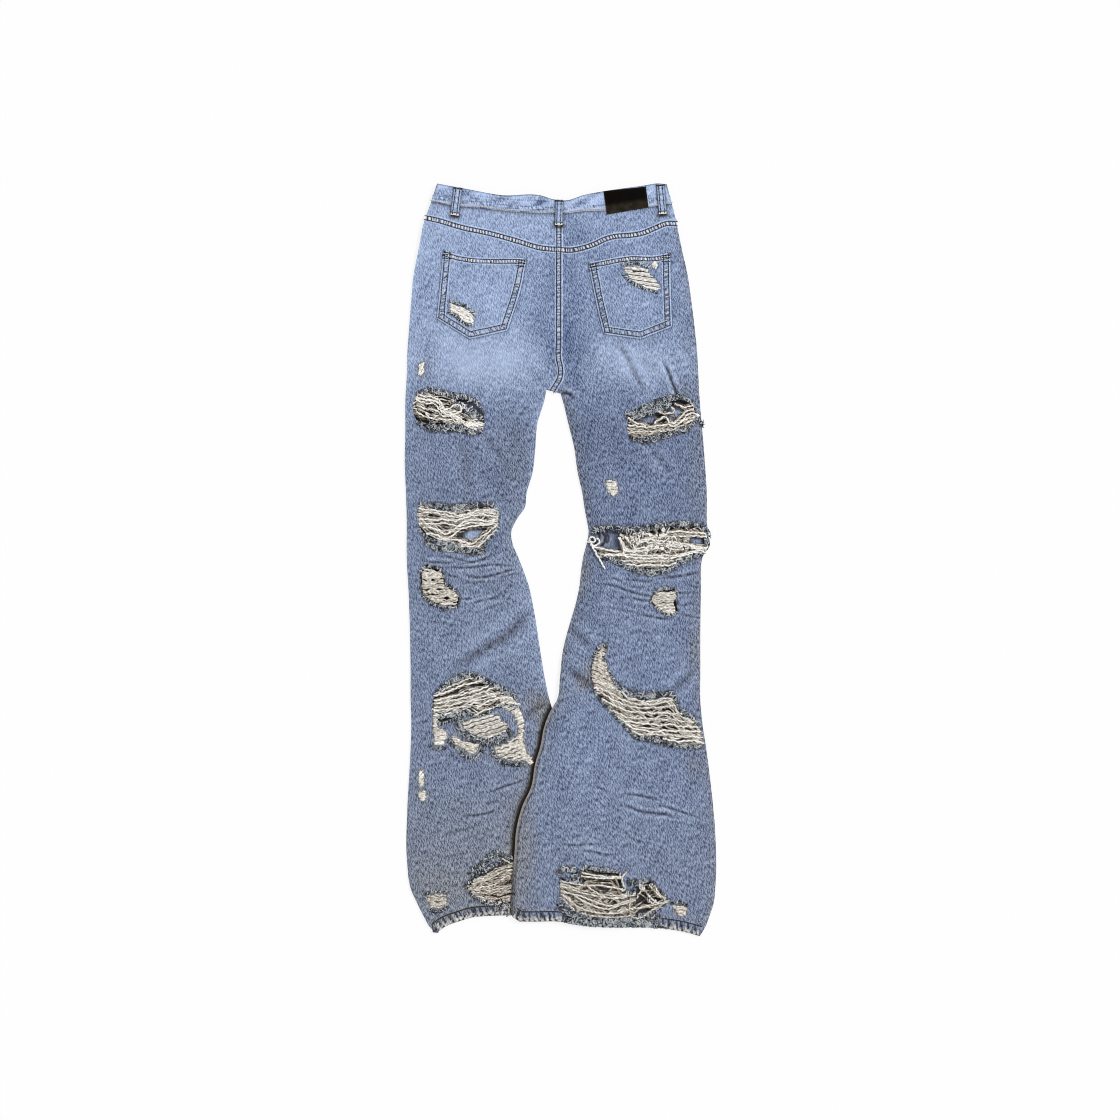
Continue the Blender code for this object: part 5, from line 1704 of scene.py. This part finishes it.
def fringe_lines(rip, side, seed):
    """The fringe along the upper and lower edges of a rip."""
    zone = fringe_zone(rip)
    hole = hole_of(side, zone.mean(axis=0))
    path = resampled(np.concatenate([hole, hole[:1]]), 1.25)
    outward = -normals(path)
    if np.mean(distance_inside(hole, path + outward * 2.0, 10.0) < 0) > 0.5:
        outward = -outward
    reach = -distance_inside(zone, path + outward)
    kept = (np.abs(outward[:, 1]) > 0.35) & (reach > 1.0)
    return fray(path[kept], outward[kept], reach[kept], back_leg(side).tree, seed,
                outline("back_leg_" + side))


def build_rip(rip, side, index):
    """The loose yarns and the fringe of one rip."""
    weft = []
    for rows, lines_of, seed, step in ((BUNDLES, bundle_lines, 101 + 17 * index, 1),
                                       (STRAYS, stray_lines, 4001 + 97 * index, 13),
                                       (TANGLES, tangle_lines, 5003 + 31 * index, 1)):
        for k, row in enumerate(row for row in rows if row.rip == rip):
            weft += lines_of(row, side, seed + step * k)
    for row in WORN:
        if row.place == rip:
            weft += worn_lines(row, back_leg(side).tree, 301 + index)
    made = [strands("rip_" + rip + "_weft", weft, "weft")]
    warp = fringe_lines(rip, side, 501 + index)
    if warp:
        made.append(strands("rip_" + rip + "_warp", warp, "warp"))
    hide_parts("rip_" + rip)
    return made


def build_worn(host, tree, seed):
    """The rubbed places on the face of one panel, and the frayed warp beside them."""
    loop = outline(host) if host.startswith("back_leg") else None
    weft, warp = [], []
    for k, row in enumerate(row for row in FRAYS if row.host == host):
        path = curve_through(row.line, 1.3)
        reach = np.full(len(path), row.reach)
        warp += fray(path, normals(path) * row.turn, reach, tree, seed + 40 + k, loop)
    for k, row in enumerate(row for row in WORN if row.host == host):
        weft += worn_lines(row, tree, seed + 3 * k)
    return [strands(host + "_worn_weft", weft, "weft"), strands(host + "_worn_warp", warp, "warp")]


# Operators ----------------------------------------------------------------------------------------

class JeansOperator:
    """What the operators of the jeans share."""
    bl_options = {"REGISTER", "UNDO"}

    def execute(self, context):
        self.build()
        return {"FINISHED"}


class JEANS_OT_back_legs(JeansOperator, bpy.types.Operator):
    """The two back legs with their rips, loose yarns, fringes, worn places and hems"""
    bl_idname = "jeans.back_legs"
    bl_label = "Back legs"

    def build(self):
        for side in SIDES:
            leg, points, faces = build_back_leg(side)
            extras = []
            for index, rip in enumerate(rips_of(side)):
                extras += build_rip(rip, side, index + (10 if side == "right" else 0))
            extras += build_worn("back_leg_" + side, back_leg(side).tree, 701)
            for k, hem in enumerate(HEMS):
                if hem.side == side:
                    extras += hem_band(k, *hem)


class JEANS_OT_yokes(JeansOperator, bpy.types.Operator):
    """The two yokes over the seat, with the yoke seams and the centre back seam"""
    bl_idname = "jeans.yokes"
    bl_label = "Yokes and back seams"

    def build(self):
        for side in SIDES:
            name = "yoke_" + side
            points, faces, top, _ = plain_cloth(name)
            light, grey = wash(points)
            # Painted shadow of the waistband along the top of the yoke, and of the belt loops.
            near_band = nearest(outline("waistband_back"), points, True)[0]
            shade = 0.8 * np.exp(-near_band / 2.4) + painted_loop_shadow(points)
            yoke = denim_piece(name, points, faces, top, look_of(light, grey, shade, 0.0, 0.95))
            line = shared_edge(name, "back_leg_" + side)
            extras = seam_with_stitches(name, line, seat(), 6.2, 81, thin=0.75, crest=0.85, dip=0.8,
                                        dark=0.62, halo=0.65)
            if side == "left":
                high = shared_edge("yoke_left", "yoke_right")
                low = shared_edge("back_leg_left", "back_leg_right")
                whole = np.concatenate([high, low[low[:, 1] > 236]])
                whole = whole[np.argsort(-whole[:, 1])]
                extras += seam_with_stitches("centre_back", whole, seat(), 6.4, 83, depth=1.0, thin=0.75,
                                             crest=0.4, dip=0.3, worn=0.25, dark=0.66, halo=0.65)


class JEANS_OT_back_pockets(JeansOperator, bpy.types.Operator):
    """The patch pockets on the seat, with their puckered edges, stitching and worn places"""
    bl_idname = "jeans.back_pockets"
    bl_label = "Back pockets"

    def build(self):
        for side in SIDES:
            name = "back_pocket_" + side
            loop = pocket_outline(name)
            points, faces = lay_net([loop], 2.6)
            inner = -distance_inside(loop, points)
            fold = 0.54 * np.exp(-inner / 8.0) * np.exp(-inner / 1.2)
            top = drop_to(back_leg(side).tree, points) + CLEARANCE + 1.2 + 0.7 * (1 - np.exp(-inner / 22.0))
            top += 0.35 * waves(points, 36.0, 91) - fold
            light, grey = wash(points)
            light += 0.03 + 0.04 * smooth(14.0, 40.0, inner)
            shade = np.zeros(len(points))
            for worn in WORN:
                if worn.host == name:
                    zone = distance_inside(worn.outline, points)
                    # Painted shade under the worn yarns and in a ring just outside them.
                    shade += 0.6 * (1.0 - smooth(-1.5, 0.5, zone)) + 0.3 * bell(zone, 2.0, 1.8)
            # Painted shade on the cloth in the slits.
            for slit in SLITS:
                shade += 0.9 * bell(nearest(slit.line, points)[0], 0.0, 1.5)
            pocket = denim_piece(name, points, faces, top, look_of(light, grey, shade))
            tree = surface(points, top, faces)
            extras = self.edges(name, loop, tree) + build_worn(name, tree, 721)

    def edges(self, name, loop, tree):
        """The folded edge of a pocket on each of its sides, with two rows of stitches."""
        made, bars = [], []
        for k, run in enumerate(pocket_sides(name)):
            top_side = run[:, 1].min() > 445
            apart = 5.6 if top_side else 7.6
            inward = inset(run, loop, apart / 2 + (1.3 if top_side else 2.6))
            look = ({"crest": 0.9, "dip": 0.9, "pitch": 4.4, "halo": 0.75} if top_side
                    else {"crest": 0.25, "dip": 0.7, "pitch": 8.2, "halo": 0.95})
            made += seam_with_stitches("%s_edge_%d" % (name, k), inward[1:-1], tree, apart, 93 + k,
                                       depth=0.45, thin=0.72, brim=3.0, worn=0.12, dark=0.62, **look)
            if np.ptp(run[:, 1]) > 50:
                down = inward[::-1] if inward[-1][1] > inward[0][1] else inward
                across = normals(down) * 4.6
                bars += [lifted([down[i] - across[i], down[i] + across[i]], tree, 0.6) for i in (1, 2, 4)]
        made.append(stitches(name + "_bars", bars, "brown", 0.8))
        return made


class JEANS_OT_waistband(JeansOperator, bpy.types.Operator):
    """The back waistband with its lower stitching, and the three belt loops on it"""
    bl_idname = "jeans.waistband"
    bl_label = "Waistband and back loops"

    def paleness(self, points):
        """How pale the band is, more so on the right."""
        return 0.58 + 0.18 * smooth(-20, 20, points[:, 0])

    def build(self):
        points, faces, top, _ = plain_cloth("waistband_back")
        low = shared_line()
        gap = nearest(low, points)[0]
        edge = nearest(outline("waistband_back"), points, True)[0]
        streak = waves(np.column_stack([points[:, 0] * 0.2, gap * 1.9]), 9.0, 52)
        light = self.paleness(points) + 0.38 * streak
        light += 0.2 * bell(edge, 3.0, 2.0) - 0.12 * bell(gap, 9, 3.0)
        # Painted shade along the band's rolled edge, except at its lower edge, and painted shadow beside the
        # belt loops.
        shade = 0.7 * bell(edge, 0.0, 1.3) * smooth(3.0, 5.0, gap) + painted_loop_shadow(points)
        band = denim_piece("waistband_back", points, faces, top, look_of(light, 0.05, shade), 2.4)
        tree = seat()
        sign = 1.0 if beside(low, 4.0)[:, 1].mean() > low[:, 1].mean() else -1.0

        def dots(s, u, points):
            up = u * sign
            wave = pucker(s, u, 87, 7.2, 0.4)
            patchy = np.clip(0.7 + 0.6 * waves(s, 34.0, 88), 0.0, 1.2)
            at = bell(up, 1.2, 1.7) * patchy
            light = self.paleness(points) + 0.34 * waves(np.column_stack([s * 0.2, up * 1.9]), 9.0, 89)
            light += 0.35 * bell(up, -2.2, 0.9) + 0.4 * smooth(0, 1, wave) * at
            # The pucker dots: deeper indigo and painted shade where they dip; painted shade along the band's
            # lower edge; painted shadow beside the belt loops.
            light -= 0.9 * smooth(0.0, 0.7, -wave) * at
            shade = 0.7 * smooth(0.0, 0.7, -wave) * at + 0.5 * bell(up, -4.7, 0.6) + painted_loop_shadow(points)
            return look_of(light, 0.05, shade, 0.2 * smooth(0.2, 1, wave) * at)

        def dots_height(s, u, points):
            wave = pucker(s, u, 87, 7.2, 0.4) * bell(u * sign, 1.2, 1.9)
            return 0.12 - 0.35 * smooth(0.7, 1.0, np.abs(u) / 5.2) + 0.28 * wave

        edge = ribbon("waistband_back_edge", beside(low, sign * 5.6), 5.2, tree, dots_height, dots, across=15)
        sewn = stitches("waistband_back_stitches", [lifted(beside(low, sign * 1.9, 0.2, 5), tree, 0.35)],
                        "cream", 0.8)
        extras = [edge, sewn]
        for node in sorted(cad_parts):
            if node.startswith("belt_loop_back"):
                extras += belt_loop(node, tree)


def painted_loop_shadow(points):
    """Painted shadow beside the belt loops and under their folded ends."""
    shade = np.zeros(len(points))
    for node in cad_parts:
        if node.startswith("belt_loop_back"):
            loop = node_loops(node)[0]
            low = points[:, 1] < loop[:, 1].min() + 2
            shade += 0.8 * np.exp(-nearest(loop, points, True)[0] / 2.0)
            shade += 0.8 * np.exp(-nearest(loop - [0, 3.0], points, True)[0] / 2.6) * low
    return shade


def shared_line():
    """The lower edge of the waistband, from side to side."""
    loop = outline("waistband_back")
    beside_yoke = np.zeros(len(loop), bool)
    for side in SIDES:
        beside_yoke |= nearest(outline("yoke_" + side), loop, True)[0] < 1.4
    low = loop[beside_yoke]
    return low[np.argsort(low[:, 0])]


def loop_axis(node):
    """Top and bottom ends of a belt loop, and its half width."""
    corners = node_loops(node)[0]
    centre = corners.mean(axis=0)
    _, vectors = np.linalg.eigh(np.cov((corners - centre).T))
    axis = vectors[:, 1] * (1 if vectors[1, 1] > 0 else -1)
    reach = (corners - centre) @ axis
    across = (corners - centre) @ np.array([-axis[1], axis[0]])
    return centre + axis * reach.max(), centre + axis * reach.min(), np.abs(across).max()


def belt_loop(node, tree):
    """A belt loop: a folded strip with a stitch line down each side and bars across its ends."""
    top, bottom, half = loop_axis(node)
    total = np.linalg.norm(top - bottom)

    def height(s, u, points):
        ends = np.minimum(s, total - s)
        crown = 0.5 * (1 - smooth(0.55, 1.0, np.abs(u) / half))
        return 1.3 + 0.5 * smooth(0.0, 5.0, ends) + crown + 0.15 * waves(s, 9.0, 7)

    def values(s, u, points):
        edge = np.abs(u) / half
        light = 0.6 + 0.4 * smooth(0.66, 0.8, edge) + 0.35 * (1 - smooth(0.0, 0.35, edge))
        light += 0.15 * waves(s, 7.0, 9)
        # Painted shade in the grooves under the stitch lines and along the strip's sides.
        dark = 0.35 * bell(edge, 0.52, 0.12) + 0.7 * smooth(0.92, 1.0, edge)
        fold = 1.0 - smooth(1.8, 3.0, total - s)
        return look_of(light, 0.1, dark * (1 - fold), 0.85 * fold)

    line = np.array([top, bottom])
    strip = ribbon(node + "_cloth", line, half, tree, height, values, depth=1.5)
    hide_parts(node)
    across = 0.8 * half * normals(resampled(line, 3.0))[0]
    down = (bottom - top) / total
    sewn = [lifted(beside(line, offset)[1:-1], tree, 2.45) for offset in (-0.52 * half, 0.52 * half)]
    sewn += [lifted([at - across, at + across], tree, 2.5)
             for at in (top + down * 1.6, top + down * 2.8, bottom - down * 4.2)]
    return [strip, stitches(node + "_stitches", sewn, "brown", 0.68)]


def under_strip(node):
    """A loop on the front, which lies underneath: its strip follows the frame's own face."""
    points, faces = lay_net([rounded(node_loops(node)[0], 2.0, 30.0)], 2.0)
    look = look_of(np.full(len(points), 0.7), 0.1, 0.0)
    return denim_piece(node, points, faces, drop_to(node_surface(node), points), look, 1.1)


class JEANS_OT_waist_patch(JeansOperator, bpy.types.Operator):
    """The plain black leather patch on the waistband"""
    bl_idname = "jeans.waist_patch"
    bl_label = "Waist patch"

    def build(self):
        loop = rounded(node_loops("waist_patch")[0], 1.6, 30.0)
        points, faces = lay_net([loop], 1.6)
        inner = nearest(loop, points, True)[0]
        centre = relaxed(drop_to(seat(), points), faces, 12)
        top = centre + CLEARANCE + 1.4 - 0.5 * np.exp(-inner / 0.8) + 0.12 * waves(points, 16.0, 97)
        # Browner: a painted sheen over the lower part of the patch, and browner again along its edge.
        low = points[:, 1] - np.interp(points[:, 0], [67, 136], [531, 542])
        worn = 0.85 * (1.0 - smooth(8.0, 17.0, low)) + 0.3 * np.exp(-inner / 1.5)
        patch = shell("waist_patch_leather", points, faces, top, 1.4, leather_material(), worn=worn)
        settle(patch, "leather", "waist_patch")


class JEANS_OT_front(JeansOperator, bpy.types.Operator):
    """The front of the jeans, which lies underneath and shows blue through the rips"""
    bl_idname = "jeans.front"
    bl_label = "Front panels"

    def build(self):
        for side in SIDES:
            band = "waistband_front_" + side
            under = {"front_leg_" + side: ["stage_floor"],
                     "front_pocket_" + side: ["front_leg_%s_cloth" % side],
                     band: ["belt_loop_front_%s_cloth" % side, "fly_button_metal"]}
            for name in under:
                panel, points, faces = front_panel(name, 2.4 if name == band else 1.2)
                extras = [under_strip("belt_loop_front_" + side)] if name == band else []
                extras.append(under_stitches(name, front_rows(name, side)))


def inset(run, loop, by):
    """A line moved into a loop."""
    moved = beside(run, by)
    middle = len(moved) // 2
    return moved if distance_inside(loop, moved[middle:middle + 1])[0] < 0 else beside(run, -by)


def front_rows(name, side):
    """Where a front panel is topstitched: its pocket opening and the curve of the fly, or its long edges."""
    loop = outline(name)
    if not name.startswith("front_leg"):
        return [inset(loop, loop, 2.6)[1:-1]]
    opening = shared_edge(name, "front_pocket_" + side)
    rows = [inset(opening, loop, by)[1:-1] for by in (2.2, 8.6)]
    if side == "left":
        low, high = (np.array(corner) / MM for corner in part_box("fly_zip"))
        edge = low[0] - 18.0
        turn = [(edge, high[1]), (edge, low[1] + 50.0), (edge + 4.0, low[1] + 28.0),
                (edge + 14.0, low[1] + 12.0), (edge + 30.0, low[1] + 4.0)]
        rows += [curve_through([(x - by, y - by) for x, y in turn], 3.0) for by in (0.0, 6.4)]
    return rows


def under_stitches(name, lines):
    """Topstitching on a front panel, on the side that lies underneath."""
    tree = node_surface(name, below=True)
    return stitches(name + "_stitches", [np.column_stack([line, drop_to(tree, line)]) for line in lines],
                    "brown", 0.5)


def front_panel(name, thick):
    """A front panel as a layer of cloth on its frame."""
    loop = outline(name)
    folds = [fold.line for fold in PAINTED_FOLDS if name == "front_leg_" + fold.side]

    def near_folds(at):
        return np.any([nearest(line, at, reach=9.0)[0] < 5.0 for line in folds], axis=0)

    cell = 8.0 if name.startswith("front_leg") else 5.5
    points, faces = lay_net([loop], cell, 1.8, near_folds if folds else None)
    top = drop_to(node_surface(name), points)
    light, grey = wash(points)
    shade = np.full(len(points), 0.05)
    if name.startswith("front_leg"):
        side = name[10:]
        # The cloth seen through the rips carries painted shade, less at the gaps, where it is also painted
        # lighter.
        shade = np.full(len(points), 0.85)
        for gap in GAPS:
            if gap.side == side:
                offset = (points - [gap.x, gap.y]) / [gap.across, gap.along]
                away = smooth(0.6, 1.8, (offset ** 2).sum(axis=1))
                shade = np.minimum(shade, gap.shade + (0.85 - gap.shade) * away)
                light += gap.pale * (1.0 - away)
        # Each fold is painted only: painted shade in it and painted light beside it.
        for fold in PAINTED_FOLDS:
            if fold.side == side:
                gap = nearest(fold.line, points, reach=9.0)[0]
                shade += fold.dark * bell(gap, 0.0, 2.0)
                light += 0.4 * bell(gap, 4.0, 1.6)
        light += 0.14
        covered = np.zeros(len(points), bool)
        for hole in holes(side):
            covered |= distance_inside(hole, points) < 6.0
        shade = np.where(covered, shade, 0.05)
    look = look_of(light, grey + 0.1, shade, 0.0, 0.92)
    return denim_piece(name, points, faces, top, look, thick), points, faces


class JEANS_OT_fly(JeansOperator, bpy.types.Operator):
    """The closed fly: zip teeth on their tape, the slider, and the button at the waist"""
    bl_idname = "jeans.fly"
    bl_label = "Fly zip and button"

    def build(self):
        for node, slot in (("fly_zip", "zip"), ("fly_button", "button")):
            net = bmesh.new()
            net.from_mesh(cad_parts[node].data)
            bmesh.ops.remove_doubles(net, verts=net.verts, dist=1e-6)
            mesh = bpy.data.meshes.new(node + "_metal")
            net.to_mesh(mesh)
            net.free()
            mesh.materials.clear()
            mesh.materials.append(brass_material())
            settle(placed(node + "_metal", mesh), slot, node)
        low, high = (np.array(corner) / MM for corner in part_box("fly_zip"))
        middle = (low[0] + high[0]) / 2
        rows = [lifted([(middle + aside, low[1] + 6.0), (middle + aside, high[1] - 6.0)],
                       node_surface("fly_zip"), 0.1) for aside in (-1.1, 1.1)]
        teeth = grown("fly_zip_teeth", stitch_tree(), rows, Pitch=2.8 * MM, Length=1.6 * MM, Width=2.6 * MM,
                      Material=brass_material())
        settle(teeth, "zip")


def seen_directly(tree):
    """1 for light that reaches the eye directly or by a mirror or through glass, 0 for light on the cloth."""
    path = add(tree, "ShaderNodeLightPath").outputs
    either = add(tree, "ShaderNodeMath", {0: path["Is Camera Ray"], 1: path["Is Glossy Ray"]},
                 operation="MAXIMUM")
    return add(tree, "ShaderNodeMath", {0: either, 1: path["Is Transmission Ray"]}, operation="MAXIMUM")


class JEANS_OT_stage(JeansOperator, bpy.types.Operator):
    """The pale floor, the soft studio light and the camera straight overhead"""
    bl_idname = "jeans.stage"
    bl_label = "Stage"

    def build(self):
        scene = bpy.context.scene
        scene.view_settings.view_transform = "Standard"
        scene.cycles.filter_width = 1.0
        reach, depth = 6.0, -0.6 * MM
        mesh = bpy.data.meshes.new("stage_floor")
        mesh.from_pydata([(x, y, depth) for x, y in ((-reach, -reach), (reach, -reach), (reach, reach),
                                                     (-reach, reach))], [], [(0, 1, 2, 3)])
        material, tree = new_material("matt white paper")
        paper = add(tree, "ShaderNodeBsdfDiffuse", {"Color": (0.9, 0.9, 0.9, 1)})
        white = add(tree, "ShaderNodeEmission", {"Color": (1, 1, 1, 1), "Strength": 1.0})
        # To the eye the paper is mostly lit evenly, and keeps a trace of the shadows on it.
        kept = add(tree, "ShaderNodeMixShader", {0: 0.85, 1: paper, 2: white})
        face = add(tree, "ShaderNodeMixShader", {0: seen_directly(tree), 1: paper, 2: kept})
        add(tree, "ShaderNodeOutputMaterial", {"Surface": face})
        mesh.materials.append(material)
        floor = placed("stage_floor", mesh)

        world = bpy.data.worlds.new("soft room")
        world.use_nodes = True
        scene.world = world
        tree = world.node_tree
        tree.nodes.clear()
        room = add(tree, "ShaderNodeMapRange", {0: seen_directly(tree), 1: 0.0, 2: 1.0, 3: 0.55, 4: 1.0})
        light = add(tree, "ShaderNodeBackground", {"Color": (1, 1, 1, 1), "Strength": room})
        add(tree, "ShaderNodeOutputWorld", {"Surface": light})

        key = bpy.data.lights.new("key", "SUN")
        key.energy = 2.1
        key.angle = math.radians(14)
        lamp = placed("key", key)
        lamp.rotation_euler = Vector((0.74, 0.42, 0.95)).to_track_quat("Z", "Y").to_euler()

        lens = bpy.data.cameras.new("overhead")
        lens.lens = 100
        lens.sensor_width = 36
        lens.clip_end = 50
        camera = placed("overhead", lens)
        camera.location = (0, 0, VIEW_WIDTH * lens.lens / lens.sensor_width)
        scene.camera = camera


class JEANS_PT_pieces(bpy.types.Panel):
    """Pieces of the jeans, with the sizes and colours they are made from"""
    bl_idname = "JEANS_PT_pieces"
    bl_label = "Ripped jeans"
    bl_space_type = "VIEW_3D"
    bl_region_type = "UI"
    bl_category = "Jeans"

    def draw(self, context):
        for operator in OPERATORS:
            self.layout.operator(operator.bl_idname)
        for group in (context.scene.jeans_sizes, context.scene.jeans_colours):
            for key in group.__annotations__:
                self.layout.prop(group, key)


OPERATORS = (JEANS_OT_front, JEANS_OT_fly, JEANS_OT_back_legs, JEANS_OT_yokes, JEANS_OT_back_pockets,
             JEANS_OT_waistband, JEANS_OT_waist_patch, JEANS_OT_stage)
CLASSES = (JeansSizes, JeansColours, *OPERATORS, JEANS_PT_pieces)


def register():
    for cls in CLASSES:
        bpy.utils.register_class(cls)
    bpy.types.Scene.jeans_sizes = PointerProperty(type=JeansSizes)
    bpy.types.Scene.jeans_colours = PointerProperty(type=JeansColours)


def unregister():
    del bpy.types.Scene.jeans_colours
    del bpy.types.Scene.jeans_sizes
    for cls in reversed(CLASSES):
        bpy.utils.unregister_class(cls)


def main():
    register()
    bpy.ops.jeans.front()
    bpy.ops.jeans.fly()
    bpy.ops.jeans.back_legs()
    bpy.ops.jeans.yokes()
    bpy.ops.jeans.back_pockets()
    bpy.ops.jeans.waistband()
    bpy.ops.jeans.waist_patch()
    bpy.ops.jeans.stage()


if __name__ == "__main__":
    main()
